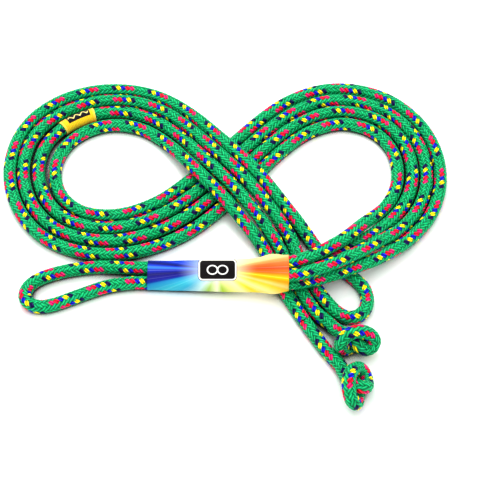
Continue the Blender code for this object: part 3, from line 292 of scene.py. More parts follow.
def runs():
    """The rope in named runs, from the cut end of knot 2 to the cut end of knot 1."""
    strand_1, strand_2 = strand(1, 54, 1143), strand(2, 64, 1040)
    strand_3, strand_4 = strand(3, 48, 1040), strand(4, 48, 1143)
    pin = hairpin(strand_2[-1], strand_2[-1] - strand_2[-3],
                  strand_3[-1], strand_3[-1] - strand_3[-3])
    return [('knot_2', tighten(KNOT_2_MIDDLE, knot_2_table())[::-1]),
            ('tail_4', free_run(TAIL_4)[::-1]), ('strand_4', strand_4),
            ('bight_b', free_run(BIGHT_B)[::-1]), ('strand_1', strand_1[::-1]),
            ('bight_a', free_run(BIGHT_A)), ('strand_2', strand_2), ('bight_c', pin),
            ('strand_3', strand_3[::-1]), ('tail_3', free_run(TAIL_3)),
            ('knot_1', tighten(KNOT_1_MIDDLE, KNOT_1))]


def chain():
    """One even line of points along the whole rope, the run number of each, and the run names."""
    parts = runs()
    points = np.vstack([p for _, p in parts])
    label = np.concatenate([np.full(len(p), k) for k, (_, p) in enumerate(parts)])
    gap = norm(np.diff(points, axis=0), axis=1)
    line, tag = [], []
    for k in range(len(points)):
        line.append(points[k])
        tag.append(label[k])
        if k + 1 == len(points) or gap[k] <= 1.6 * STEP:
            continue
        # a Hermite curve bridges the gap between two runs
        start, end = points[k], points[k + 1]
        leave, meet = points[k] - points[k - 2], points[k + 3] - points[k + 1]
        leave, meet = leave / norm(leave) * gap[k], meet / norm(meet) * gap[k]
        pieces = int(round(gap[k] / STEP))
        for q in range(1, pieces):
            t = q / pieces
            line.append((2 * t ** 3 - 3 * t * t + 1) * start + (t ** 3 - 2 * t * t + t) * leave
                        + (3 * t * t - 2 * t ** 3) * end + (t ** 3 - t * t) * meet)
            tag.append(label[k] if t < .5 else label[k + 1])
    line, tag = np.array(line), np.array(tag)
    length = arc_length(line)
    even = np.linspace(0, length[-1], int(round(length[-1] / STEP)) + 1)
    tag = tag[np.clip(np.searchsorted(length, even), 0, len(tag) - 1)]
    return interp_rows(even, length, line), tag, [name for name, _ in parts]


# ---------------------------------------------------------------- settling of the strands
SAME_STRAND = int(math.ceil(1.6 * ROPE_D / STEP))   # points this near along the rope may be close
KNOT_POINTS = int(KNOT_RUN / STEP)


def diameters(count, pin):
    """Rope diameter at each point: thinner in the knots and in the hairpin."""
    ramp = np.clip((np.arange(count) - KNOT_POINTS * .62) / (KNOT_POINTS * .22), 0, 1)
    dia = np.full(count, ROPE_D)
    dia *= KNOT_D / ROPE_D + (1 - KNOT_D / ROPE_D) * np.minimum(ramp, ramp[::-1])
    dia[pin] *= PIN_SQUEEZE
    return smooth(dia, 2.0)


def pile_up(points):
    """How far each point lies under or over another strand, 0..1."""
    count = len(points)
    body = np.arange(KNOT_POINTS, count - KNOT_POINTS)
    level = norm(points[body][:, None, :2] - points[None, :, :2], axis=-1)
    drop = np.abs(points[body][:, None, 2] - points[None, :, 2])
    far = np.abs(body[:, None] - np.arange(count)[None]) > SAME_STRAND
    pile = np.zeros(count)
    pile[body] = ((level < .75 * ROPE_D) & (drop > .5 * ROPE_D) & far).any(1)
    return np.clip(smooth(smooth(pile, 2.0), 2.5) * 1.25, 0, 1)


def near_pairs(points):
    """Pairs of points in the same or neighbouring cells of a level grid."""
    row = 10000
    cell = np.floor((points - points.min(0)) / (ROPE_D * 1.3)).astype(int)
    key = cell[:, 0] * row + cell[:, 1]
    cells = {}
    for k in np.argsort(key, kind='stable'):
        cells.setdefault(int(key[k]), []).append(int(k))
    firsts, seconds = [], []
    for place, members in cells.items():
        for offset in (0, 1, row - 1, row, row + 1):
            others = cells.get(place + offset)
            if others is None:
                continue
            i, j = np.meshgrid(members, others, indexing='ij')
            i, j = i.ravel(), j.ravel()
            keep = np.abs(i - j) > SAME_STRAND
            if offset == 0:
                keep &= i < j
            firsts.append(i[keep])
            seconds.append(j[keep])
    return np.concatenate(firsts), np.concatenate(seconds)


def settle(points, pin, rounds=60):
    """Push apart strands closer than a diameter; also gives height and width factors, diameters."""
    dia = diameters(len(points), pin)
    pile = pile_up(points)
    high, wide = 1 - (1 - SQUASH) * pile, 1 + (SPREAD - 1) * pile
    for k in range(rounds):
        i, j = near_pairs(points)
        scale = np.stack([1 / ((wide[i] + wide[j]) / 2)] * 2 + [1 / ((high[i] + high[j]) / 2)], -1)
        apart = (points[i] - points[j]) * scale
        gap = norm(apart, axis=1)
        need = (dia[i] + dia[j]) / 2 + AIR
        bad = gap < need
        if not bad.any():
            break
        push = apart[bad] / gap[bad][:, None] / scale[bad] * ((need - gap)[bad] * .5)[:, None]
        points = points + 1.4 * smooth(mean_push(len(points), i[bad], j[bad], push), 1.5)
        points[:, 2] = np.maximum(points[:, 2], dia / 2 * high + .02)
        if k % 3 == 2 and k < rounds * .8:
            points = points + .15 * straighten(points)
    return points, high, wide, dia


def frames(points, in_knot):
    """Tangent, sideways and upward directions; these are carried on without twist in the knots."""
    tangent = unit(np.gradient(points, axis=0))
    side = np.cross(tangent, [0, 0, 1.])
    side /= np.maximum(norm(side, axis=1), 1e-9)[:, None]
    body = np.where(~in_knot)[0]
    first, last = body[0] + 4, body[-1] - 4
    carried = [(k, k - 1) for k in range(last + 1, len(points))]
    carried += [(k, k + 1) for k in range(first - 1, -1, -1)]
    for k, before in carried:
        turned = side[before] - tangent[k] * (side[before] @ tangent[k])
        side[k] = turned / norm(turned)
    return tangent, side, np.cross(side, tangent)


class Rope:
    """The settled rope: points, directions and section at every run along it."""

    def __init__(self):
        line, self.tag, self.names = chain()
        self.points, self.high, self.wide, self.dia = settle(line, self.run('bight_c'))
        self.press_knots()
        in_knot = np.isin(self.tag, [self.names.index('knot_1'), self.names.index('knot_2')])
        self.tangent, self.side, self.up = frames(self.points, in_knot)
        self.along = arc_length(self.points)
        self.length = self.along[-1]

    def run(self, name):
        """Indices of the points of a named run."""
        return np.where(self.tag == self.names.index(name))[0]

    def press_knots(self):
        """Pulled tight, the turns of a knot press into each other and swell."""
        points = self.points
        k = np.arange(len(points))
        # weights of the two knots fade in over the first and last points of the rope
        in_2 = np.clip((62 - k) / 12, 0, 1)
        in_1 = np.clip((k - 1996) / 10, 0, 1)
        in_2, in_1 = in_2 * in_2 * (3 - 2 * in_2), in_1 * in_1 * (3 - 2 * in_1)
        either = in_1 + in_2
        points[:, 0] += in_2 * (95.2 - points[:, 0]) * .30 - 3.0 * in_1
        points[:, 2] -= either * np.maximum(points[:, 2] - 14, 0) * .12
        self.dia = self.dia * (1 + .12 * np.clip((11.3 - self.dia) / .9, 0, 1) * either)
        lowest = np.where(either > 0, self.dia / 2 * self.high, 0)
        points[:, 2] = np.maximum(points[:, 2], lowest)

    def place(self, run, turn, radius):
        """Point at a run along the rope, a turn about it from its top, and a radius."""
        run = np.clip(run, 0, self.length)
        middle, side, up = (
            np.stack([np.interp(run, self.along, rows[:, k]) for k in range(3)], -1)
            for rows in (self.points, self.side, self.up))
        wide = np.interp(run, self.along, self.wide * self.dia / ROPE_D)
        high = np.interp(run, self.along, self.high * self.dia / ROPE_D)
        return (middle + unit(side) * (radius * wide * np.sin(turn))[..., None]
                + unit(up) * (radius * high * np.cos(turn))[..., None])


# ---------------------------------------------------------------- meshes
def grid_faces(rows, around, base=0):
    """Quads of a grid whose rows are closed rings."""
    i = np.arange(rows - 1)[:, None]
    j = np.arange(around)[None, :]
    k = (j + 1) % around
    corners = [i * around + j, i * around + k, (i + 1) * around + k, (i + 1) * around + j]
    return np.stack(corners, -1).reshape(-1, 4) + base


def caps(rows, around, base=0):
    last = base + (rows - 1) * around
    return [[base + k for k in range(around - 1, -1, -1)], [last + k for k in range(around)]]


def make_mesh(name, verts, quads, ngons=()):
    """Smooth-shaded object from arrays, wound so that its volume is positive."""
    verts = np.asarray(verts, float)
    p0, p1, p2, p3 = (verts[quads[:, k]] for k in range(4))
    volume = np.einsum('ij,ij->', p0, np.cross(p1, p2)) + np.einsum('ij,ij->', p2, np.cross(p3, p0))
    for face in ngons:
        for k in range(1, len(face) - 1):
            volume += verts[face[0]] @ np.cross(verts[face[k]], verts[face[k + 1]])
    if volume < 0:
        quads = quads[:, ::-1]
        ngons = [face[::-1] for face in ngons]
    corners = np.concatenate([quads.ravel()] + [np.asarray(face) for face in ngons])
    sizes = np.array([4] * len(quads) + [len(face) for face in ngons], np.int32)
    mesh = bpy.data.meshes.new(name)
    mesh.vertices.add(len(verts))
    mesh.vertices.foreach_set('co', verts.astype(np.float32).ravel())
    mesh.loops.add(len(corners))
    mesh.loops.foreach_set('vertex_index', corners.astype(np.int32))
    mesh.polygons.add(len(sizes))
    mesh.polygons.foreach_set('loop_start', np.r_[0, np.cumsum(sizes)[:-1]].astype(np.int32))
    mesh.polygons.foreach_set('loop_total', sizes)
    mesh.update(calc_edges=True)
    mesh.validate()
    mesh.shade_smooth()
    return link(bpy.data.objects.new(name, mesh))


def link(ob):
    bpy.context.scene.collection.objects.link(ob)
    return ob


def tube(name, rings):
    """Closed tube from rings of lay points."""
    rows, around = rings.shape[:2]
    return make_mesh(name, to_world(rings).reshape(-1, 3), grid_faces(rows, around),
                     caps(rows, around))


def sleeve(name, outer, inner):
    """Open sleeve with an outer and an inner wall joined at both rims."""
    rows, around = outer.shape[:2]
    wall = rows * around
    last = wall - around
    j = np.arange(around)
    k = (j + 1) % around
    quads = [grid_faces(rows, around), grid_faces(rows, around, wall)[:, ::-1],
             np.stack([k, j, wall + j, wall + k], -1),
             np.stack([last + j, last + k, wall + last + k, wall + last + j], -1)]
    verts = np.concatenate([outer.reshape(-1, 3), inner.reshape(-1, 3)])
    return make_mesh(name, to_world(verts), np.concatenate(quads))


def add_attribute(ob, name, data, colour=False):
    """Point attribute: a vector, or an opaque colour."""
    data = np.asarray(data, np.float32).reshape(-1, 3)
    kind, field = ('FLOAT_COLOR', 'color') if colour else ('FLOAT_VECTOR', 'vector')
    if colour:
        data = np.column_stack([data, np.ones(len(data))]).astype(np.float32)
    ob.data.attributes.new(name, kind, 'POINT').data.foreach_set(field, data.ravel())


def add_wall_attribute(ob, name, across, along):
    """Two coordinates on both walls of a sleeve; the third is 0 on the outer, 1 on the inner."""
    walls = [np.stack([across, along, np.full(across.shape, wall)], -1) for wall in (0.0, 1.0)]
    add_attribute(ob, name, np.stack(walls))


# ---------------------------------------------------------------- braid
ALBEDO = .94      # the set is lit bright, so the pigments are a little deeper than they look


def srgb(*channels):
    return tuple((((c / 255 + .055) / 1.055) ** 2.4 if c > 10.3 else c / 255 / 12.92) * ALBEDO
                 for c in channels)


PITCH = 2.85 * ROPE_D * .996         # one turn of a yarn round the rope
YARN_T, YARN_SWING = .80, .62        # half thickness of a yarn and its swing in and out
YARN_OVER, YARN_UNDER = 1.86, 1.45   # its half width on top and underneath
CORE_R = 3.55
SECTIONS = 8                         # sections of a yarn in one over and under
AROUND = 10                          # points of a section

GREENS = [srgb(2, 173, 110), srgb(4, 181, 116), srgb(0, 165, 104), srgb(6, 175, 120)]
NAVY, YELLOW, BLUE = srgb(24, 0, 88), srgb(255, 238, 0), srgb(2, 30, 200)
RED, PINK = srgb(238, 4, 56), srgb(238, 28, 118)
# the eight yarns that climb one way: five coloured ones side by side and three green
COLOURED = [NAVY, YELLOW, BLUE, RED, PINK, GREENS[0], GREENS[1], GREENS[2]]
TURNED = COLOURED[4::-1] + COLOURED[5:]     # met from the other end

# drift of the braid at stations along the rope
TWIST_FROM, TWIST_EVERY = 3.75, 20.0
# how far the yarns run ahead, in turns
TWIST = [
    3.39, 3.41, 3.46, 3.56, 3.64, 3.66, 3.62, 3.54, 3.52, 3.51, 3.5, 3.47, 3.42, 3.39, 3.41, 3.39,
    3.32, 3.27, 3.24, 3.18, 3.13, 3.11, 3.1, 3.12, 3.12, 3.09, 3.08, 3.05, 3.02, 3.03, 3.05, 3.08,
    3.11, 3.11, 3.09, 3.08, 3.08, 3.06, 3.03, 3.02, 3.02, 3, 2.98, 2.96, 2.95, 2.93, 2.9, 2.86,
    2.83, 2.76, 2.7, 2.67, 2.65, 2.62, 2.57, 2.53, 2.53, 2.55, 2.57, 2.57, 2.55, 2.55, 2.55, 2.55,
    2.16, 2.16, 2.15, 2.16, 2.16, 2.17, 2.17, 2.22, 2.34, 2.37, 2.35, 2.34, 2.33, 2.32, 2.31, 2.29,
    2.25, 2.2, 2.15, 2.13, 2.15, 2.19, 2.25, 2.22, 2.12, 2.04, 2.01, 1.97, 1.93, 1.89, 1.86, 1.85,
    1.84, 1.83, 1.82, 1.8, 1.79, 1.8, 1.79, 1.79, 1.8, 1.81, 1.82, 1.87, 1.9, 1.9, 1.92, 1.92,
    1.89, 1.85, 1.83, 1.82, 1.8, 1.8, 1.8, 1.8, 1.8, 1.8, 1.79, 1.78, 1.78, 1.76, 1.72, 1.67, 1.66,
    1.64, 1.61, 1.57, 1.55, 1.56, 1.54, 1.51, 1.53, 1.5, 1.49, 1.59, 1.68, 1.7, 1.66, 1.61, 1.59,
    1.59, 1.59, 1.56, 1.51, 1.46, 1.43, 1.39, 1.36, 1.34, 1.34, 1.33, 1.3, 1.27, 1.27, 1.27, 1.27,
    1.26, 1.24, 1.2, 1.17, 1.16, 1.17, 1.17, 1.2, 1.23, 1.26, 1.28, 1.27, 1.29, 1.28, 1.22, 1.21,
    1.19, 1.17, 1.15, 1.12, 1.09, 1.06, 1.03, 0.97, 0.93, 0.87, 0.84, 0.8, 0.76, 0.78, 0.82, 0.84,
    0.84, 0.84, 1.32, 1.31, 1.29, 1.31, 1.31, 1.26, 1.2, 1.15, 1.14, 1.12, 1.1, 1.06, 0.99, 0.94,
    0.91, 0.9, 0.89, 0.87, 0.84, 0.84, 0.84, 0.84, 0.82, 0.81, 0.79, 0.78, 0.78, 0.79, 0.83, 0.86,
    0.88, 0.88, 0.85, 0.84, 0.81, 0.8, 0.81, 0.81, 0.77, 0.73, 0.72, 0.69, 0.63, 0.58, 0.55, 0.52,
    0.47, 0.42, 0.42, 0.41, 0.38, 0.35, 0.3, 0.27, 0.19, 0.1, -0.03, -0.14, -0.12, -0.04]
# how far the whole braid has rolled about the rope's own axis, in radians
ROLL = [
    16.1, 16.2, 16.44, 16.76, 17.07, 17.04, 16.75, 16.42, 16.29, 16.2, 16.11, 16.1, 16.08, 16.06,
    16, 15.97, 15.91, 15.8, 15.66, 15.5, 15.45, 15.48, 15.6, 15.54, 15.45, 15.45, 15.49, 15.57,
    15.62, 15.76, 15.81, 15.71, 15.54, 15.44, 15.36, 15.32, 15.3, 15.16, 15, 14.99, 14.9, 14.8,
    14.79, 14.79, 14.78, 14.66, 14.5, 14.37, 14.2, 14, 13.85, 13.72, 13.55, 13.48, 13.48, 13.47,
    13.45, 13.35, 13.23, 13.22, 13.22, 13.22, 13.22, 13.22, 13.61, 13.61, 13.62, 13.75, 14.03,
    14.11, 13.76, 13.35, 13.18, 13.36, 13.46, 13.41, 13.5, 13.6, 13.61, 13.61, 13.61, 13.61, 13.61,
    13.51, 13.23, 13.16, 13.34, 13.43, 13.22, 12.94, 12.81, 12.65, 12.47, 12.24, 12.15, 12.11,
    12.07, 11.97, 11.81, 11.78, 11.78, 11.78, 11.74, 11.64, 11.46, 11.34, 11.32, 11.29, 11.26,
    11.25, 11.2, 11.07, 11.08, 11.12, 11.11, 11.03, 11.07, 11.07, 11.11, 11.13, 11.13, 11.12,
    11.04, 10.89, 10.82, 10.74, 10.77, 10.78, 10.7, 10.5, 10.27, 10.28, 10.31, 10.23, 9.92, 9.62,
    9.58, 9.56, 9.23, 8.83, 8.65, 8.64, 8.64, 8.63, 8.55, 8.33, 8.19, 8.1, 8.01, 7.96, 7.85, 7.71,
    7.59, 7.5, 7.39, 7.2, 7.08, 6.96, 6.9, 6.97, 7.08, 7.17, 7.16, 7.13, 7.18, 7.17, 7.2, 7.2,
    7.16, 7.08, 6.98, 6.83, 6.8, 6.68, 6.65, 6.65, 6.57, 6.58, 6.59, 6.51, 6.53, 6.56, 6.44, 6.1,
    5.75, 5.44, 5.28, 5.04, 4.77, 4.49, 4.2, 3.91, 3.8, 3.8, 3.8, 3.53, 3.53, 3.5, 3.48, 3.45,
    3.33, 3.08, 2.89, 2.7, 2.66, 2.53, 2.17, 1.94, 1.7, 1.58, 1.57, 1.57, 1.54, 1.39, 1.37, 1.43,
    1.35, 1.16, 1.05, 1.06, 1.13, 1.06, 0.85, 0.73, 0.62, 0.53, 0.54, 0.6, 0.56, 0.61, 0.63, 0.65,
    0.65, 0.65, 0.65, 0.65, 0.64, 0.57, 0.53, 0.45, 0.32, 0.26, 0.25, 0.17, 0.05, 0, 0, 0.01, 0.06,
    0.01, -0.31, -0.74, -1.06, -1.07, -1.05]
TWIST_RUN = [TWIST_FROM + TWIST_EVERY * k for k in range(len(TWIST))]


def braid(rope, name, start, stop, order):
    """The sixteen yarns of one piece of rope, each a closed form."""
    slant = math.atan2(math.pi * ROPE_D, PITCH)
    count = max(8, int(round((stop - start) / (PITCH / 4 / SECTIONS))) + 1)
    run = np.linspace(start, stop, count)
    angle = (np.arange(AROUND) + .5) / AROUND * 2 * math.pi
    across, outward = np.cos(angle), np.sin(angle)
    # two plies lie side by side, with a groove between them along the crown
    at_groove = np.abs(across) < .1
    ply = np.where(at_groove, np.where(outward > 0, .58, .9), 1.0)
    # painted shade across a yarn: dark in the groove between the plies and at its sides, full on the
    # ply crowns
    face = np.where(at_groove, .34, np.clip(outward * 1.25, 0, 1) ** 1.3)
    turns = run / PITCH + np.interp(run, TWIST_RUN, TWIST)
    roll = np.interp(run, TWIST_RUN, ROLL)
    verts, colours, fibres = [], [], []
    for way in (1, -1):
        for i in range(8):
            # place in the over-two-under-two order
            phase = turns * 16 + 2 * i - .5 if way == 1 else turns * 16 - 2 * i + 2.5
            wave = np.cos(phase * math.pi / 2)
            swing = np.tanh(2.1 * wave) / math.tanh(2.1)
            radius = ROPE_D / 2 - YARN_T - YARN_SWING + YARN_SWING * swing
            half = YARN_UNDER + (YARN_OVER - YARN_UNDER) * (swing * .5 + .5)
            # a float is plumper in its middle
            thick = YARN_T * (.90 + .16 * np.maximum(wave, 0))
            turn = 2 * math.pi * (i / 8 + way * turns) + roll
            wide = half[:, None] * across[None]
            high = thick[:, None] * (outward * ply)[None]
            high = np.where(high < 0, high * .85, high * 1.06)
            # the ends are cut square to the rope, and wider yarns hug it
            verts.append(rope.place(
                np.clip(run[:, None] - way * wide * math.sin(slant), start, stop),
                turn[:, None] + wide * math.cos(slant) / (ROPE_D / 2 - .9),
                radius[:, None] + high - (wide ** 2) / (ROPE_D * 1.05) * .18))
            colour = order[i] if way == 1 else GREENS[i % 4]
            colours.append(np.array(colour) * np.ones((count, AROUND, 1)))
            # painted light and shade: a float is painted brightest along its crown and darker where
            # it dives and at its sides
            lift = np.clip(wave * .55 + .45, 0, 1) ** .8
            crown = lift[:, None] * (face * (outward > 0))[None]
            fibres.append(np.stack([
                across[None] * half[:, None] + i * 7.3 + (way > 0) * 91.0,
                np.broadcast_to(run[:, None] * 1.49, (count, AROUND)), crown], -1))
    bases = [k * count * AROUND for k in range(16)]
    quads = np.concatenate([grid_faces(count, AROUND, base) for base in bases])
    ends = [cap for base in bases for cap in caps(count, AROUND, base)]
    ob = make_mesh(name, to_world(np.array(verts)).reshape(-1, 3), quads, ends)
    add_attribute(ob, 'yarn_col', np.array(colours), colour=True)
    add_attribute(ob, 'fibre', np.array(fibres))
    return ob


def filler(rope, name, start, stop):
    """The loose core inside the braid."""
    count = max(4, int(round((stop - start) / 3.0)) + 1)
    run, turn = np.meshgrid(np.linspace(start + .05, stop - .05, count),
                            np.arange(10) / 10 * 2 * math.pi, indexing='ij')
    ob = tube(name, rope.place(run, turn, CORE_R + .12 * np.cos(5 * turn + run * .3)))
    add_attribute(ob, 'fibre', np.stack([turn * 3, run, run * 0], -1))
    return ob


# rounded end of the melted plug: distance past the rope's end, radius
PLUG = [(0.0, 5.05), (.5, 5.35), (1.1, 5.3), (1.7, 4.9), (2.15, 4.1), (2.45, 2.9), (2.55, 1.6),
        (2.5, .6)]


def melted_end(rope, name, point, way):
    """Yarn ends fused into a rounded, slightly lumpy plug at the first or last point."""
    run = rope.along[point]
    turn = np.arange(24) / 24 * 2 * math.pi
    rings = []
    for out, radius in PLUG:
        lump = 1 + .05 * np.sin(8 * turn + out) + .03 * np.sin(3 * turn + 2 * out + run)
        ring = rope.place(np.full(24, run), turn, radius * lump)
        rings.append(ring + rope.tangent[point] * way * (out - .25))
    return tube(name, np.array(rings))


# ---------------------------------------------------------------- paper band
CAMERA_AT = np.array([13.2, -689.17, 948.12])
CAMERA_AIM = np.array([13.2, -73.46, 0.0])
LENS, SENSOR = 95.76, 36.0
BAND_RIGHT, BAND_LEFT = 45.0, -72.0
BAND_Y = (-135, -80)   # strands between these pass through the band
PAPER_T = .18
PAPER_AIR = .12        # air between the strands and the paper
# the print is drawn as it looks from the camera, on a square that fills the view
PRINT_SIDE = 500
PRINT_SCALE = PRINT_SIDE * LENS / SENSOR
PRINT_UNIT = .85       # size of a print unit where the print carries on round the hidden sides


def print_place(points):
    """Where a lay point falls on the print: to the right, and down."""
    forward = (CAMERA_AIM - CAMERA_AT) / norm(CAMERA_AIM - CAMERA_AT)
    up = np.cross([1.0, 0, 0], forward)
    offset = points - CAMERA_AT
    depth = offset @ forward
    middle = PRINT_SIDE / 2
    return np.stack([middle + PRINT_SCALE * offset[..., 0] / depth,
                     middle - PRINT_SCALE * (offset @ up) / depth], -1)


def hull_2d(points):
    points = points[np.lexsort((points[:, 1], points[:, 0]))]

    def half(sequence):
        out = []
        for p in sequence:
            while len(out) > 1:
                edge, reach = out[-1] - out[-2], p - out[-2]
                if edge[0] * reach[1] - edge[1] * reach[0] > 0:
                    break
                out.pop()
            out.append(p)
        return out
    return np.array(half(points)[:-1] + half(points[::-1])[:-1])


def loop_frame(loops):
    """Tangent and outward directions of closed loops."""
    tangent = np.roll(loops, -1, 1) - np.roll(loops, 1, 1)
    tangent /= np.maximum(norm(tangent, axis=-1), 1e-9)[..., None]
    return tangent, np.stack([tangent[..., 1], -tangent[..., 0]], -1)


def taut_loop(rope, runs_inside, x, count):
    """Taut outline round the strands at one station, in y and z."""
    turn = np.arange(40) / 40 * 2 * math.pi
    cuts = []
    for first, last in runs_inside:
        # every strand near the station is cut by it as a string of balls
        for k in range(first, last):
            radius = rope.dia[k] / 2 + PAPER_AIR
            middle = rope.points[k]
            off = abs(middle[0] - x)
            if off < radius and BAND_Y[0] < middle[1] < BAND_Y[1]:
                cut = math.sqrt(radius * radius - off * off)
                cuts.append(np.stack([middle[1] + cut * rope.wide[k] * np.cos(turn),
                                      middle[2] + cut * rope.high[k] * np.sin(turn)], -1))
    hull = hull_2d(np.concatenate(cuts))
    hull[:, 1] = np.maximum(hull[:, 1], .60)
    middle_y = (hull[:, 0].min() + hull[:, 0].max()) / 2
    hull = np.vstack([hull, hull[:1]])
    length = arc_length(hull)
    fine = interp_rows(np.linspace(0, length[-1], 721)[:-1], length, hull)
    # start under the middle, running towards the back
    low = np.where(fine[:, 1] < fine[:, 1].mean())[0]
    fine = np.roll(fine, -low[np.argmin(np.abs(fine[low, 0] - middle_y))], axis=0)
    if np.sum(fine[:, 0] * np.roll(fine[:, 1], -1) - np.roll(fine[:, 0], -1) * fine[:, 1]) < 0:
        fine = np.roll(fine[::-1], 1, axis=0)
    return resample(np.vstack([fine, fine[:1]]), count=count + 1)[:-1]


def band_loops(rope, stations, count):
    """Outline of the sheet at each station: underside, back, top and front."""
    strand_4, bight_b, strand_1 = rope.run('strand_4'), rope.run('bight_b'), rope.run('strand_1')
    inside = [(strand_4[-1] - 115, bight_b[0] + 30), (bight_b[-1] - 30, strand_1[0] + 115),
              (rope.run('strand_2')[-1] - 60, rope.run('strand_3')[0] + 60)]
    bare = np.array([taut_loop(rope, inside, x, count) for x in stations])
    loops = bare.copy()
    # paper is stiffer along the strands than the outline's small steps
    for k in range(count):
        loops[:, k] = smooth(loops[:, k], 2.6)
    for row in range(len(stations)):
        padded = np.vstack([loops[row, -4:], loops[row], loops[row, :4]])
        loops[row] = sum(padded[4 + shift:4 + shift + count] * weight for shift, weight
                         in ((-2, .08), (-1, .24), (0, .36), (1, .24), (2, .08)))
    # where smoothing has drawn the sheet into a strand it is pushed out again, and eased
    for _ in range(3):
        tangent, out = loop_frame(loops)
        gap = np.zeros(loops.shape[:2])
        for row in range(len(stations)):
            offset = bare[row][None] - loops[row][:, None]
            depth = (offset * out[row][:, None]).sum(-1)
            aside = np.abs((offset * tangent[row][:, None]).sum(-1))
            gap[row] = np.where(aside < 1.2, depth, -9).max(1)
        gap = np.clip(gap, 0, 6)
        for k in range(count):
            gap[:, k] = np.maximum(gap[:, k], smooth(gap[:, k], 1.2))
        loops = loops + out * gap[..., None]
    return loops


def print_on_band(outer, out):
    """Print coordinates of the sheet, carried on round the sides hidden from the camera."""
    art = print_place(outer)
    rows, count = outer.shape[:2]
    normal = np.concatenate([np.zeros((rows, count, 1)), out], -1)
    facing = (normal * (outer - CAMERA_AT)).sum(-1) < 0
    for row in range(rows):
        # the facing run is one stretch of the loop
        first, last = np.where(facing[row])[0][[0, -1]]
        length = arc_length(np.vstack([outer[row], outer[row][:1]]))

        def distance(i, j):
            return min((length[i] - length[j]) % length[-1], (length[j] - length[i]) % length[-1])

        for k in np.where(~facing[row])[0]:
            near, far = first, last
            if distance(first, k) >= distance(last, k):
                near, far = last, first
            away = -1 if art[row, near, 1] < art[row, far, 1] else 1
            art[row, k, 1] = art[row, near, 1] + away * distance(near, k) / PRINT_UNIT
    return art


def band(rope):
    rows, count = 118, 168
    stations = np.linspace(BAND_RIGHT, BAND_LEFT, rows)
    loops = band_loops(rope, stations, count)
    out = loop_frame(loops)[1]
    # a slight crinkle in the paper, and edges that lift a little
    x = stations[:, None]
    part = (x - x[0]) / (x[-1] - x[0])
    angle = np.arange(count) / count * 2 * math.pi
    crinkle = .06 * np.sin(x * .22 + 2 * angle) * np.sin(angle * 3 + x * .07)
    edge = .28 * np.exp(-np.minimum(part, 1 - part) / .016) * (1 + .5 * np.sin(angle * 2)[None])
    lift = crinkle + edge + .10

    def wall(offset, lowest):
        points = loops + out * offset[..., None]
        sheet = np.stack([np.broadcast_to(x, (rows, count)), points[..., 0], points[..., 1]], -1)
        sheet[..., 2] = np.maximum(sheet[..., 2], lowest)
        return sheet

    outer = wall(lift + PAPER_T, .42)
    ob = sleeve('band', outer, wall(lift, .58))
    art = print_on_band(outer, out)
    add_wall_attribute(ob, 'art', art[..., 0], art[..., 1])
    return ob


def band_glue(rope):
    """Thin wavy bead of dried glue along the middle of the band's underside."""
    stations = np.linspace(BAND_RIGHT - 4, BAND_LEFT + 4, 90)
    middle = band_loops(rope, stations, 60)[:, 0]
    turn = np.arange(8) / 8 * 2 * math.pi
    x = stations[:, None]
    half = 1.5 + .35 * np.sin(x * .9) + .2 * np.sin(x * 2.3)
    y = middle[:, :1] + half * np.cos(turn)
    z = np.maximum(middle[:, 1:] - .34 + .10 * np.sin(turn), .06)
    return tube('glue_line', np.stack([np.broadcast_to(x, y.shape), y, z], -1))


# ---------------------------------------------------------------- woven tag
TAG_MIDDLE = (-141.5, 63.0)       # sighted
TAG_LONG = 32.0
TAG_THICK = .50
TAG_R = ROPE_D / 2 + .16          # inside radius
LAP_TURN, LAP_RISE = 4.15, .45    # sewn lap low on the back of the rope, and its height
STITCH_TURNS = 18
THREAD_R = .17


def tag_span(rope):
    points = rope.run('strand_3')
    middle = sight(*TAG_MIDDLE, ROPE_D * .5)
    run = rope.along[points[np.argmin(norm(rope.points[points] - middle, axis=1))]]
    return run - TAG_LONG / 2, run + TAG_LONG / 2


def woven_tag(rope):
    start, stop = tag_span(rope)
    around = 120
    run, turn = np.meshgrid(np.linspace(start, stop, 92),
                            np.arange(around) / around * 2 * math.pi, indexing='ij')
    ribs = .028 * np.cos((run - start) * 2 * math.pi / .80) * np.cos(turn * 46)
    edge = np.minimum(run - start, stop - run)
    hem = .16 * np.exp(-((edge - .9) / .55) ** 2) - .10 * np.exp(-edge / .25)
    from_lap = ((turn - LAP_TURN) + math.pi) % (2 * math.pi) - math.pi
    lap = LAP_RISE * np.exp(-from_lap ** 4 / .012)
    outer = rope.place(run, turn, TAG_R + TAG_THICK + ribs + hem + lap)
    ob = sleeve('tag', outer, rope.place(run, turn, np.full(run.shape, TAG_R)))
    from_top = np.where(turn > math.pi, turn - 2 * math.pi, turn)
    add_wall_attribute(ob, 'tagpos', run - start, from_top * ROPE_D / 2)
    return ob


def stitching(rope):
    """Zigzag of black thread on top of the tag's lap."""
    start, stop = tag_span(rope)
    part = np.linspace(0, 1, 520)
    angle = 2 * math.pi * STITCH_TURNS * part
    zigzag = 2 / math.pi * np.arcsin(np.sin(angle) * .985)
    radius = TAG_R + TAG_THICK + LAP_RISE + .10 + .10 * np.abs(np.cos(angle))
    middle = rope.place(start + 1.2 + (stop - start - 2.4) * part, LAP_TURN + zigzag * .11, radius)
    tangent = unit(np.gradient(middle, axis=0))
    side = unit(np.cross(tangent, [0, 0, 1.0]))
    up = np.cross(side, tangent)
    turn = np.arange(6)[None, :, None] / 6 * 2 * math.pi
    return tube('stitches', middle[:, None] + THREAD_R * (
        side[:, None] * np.cos(turn) + up[:, None] * np.sin(turn)))


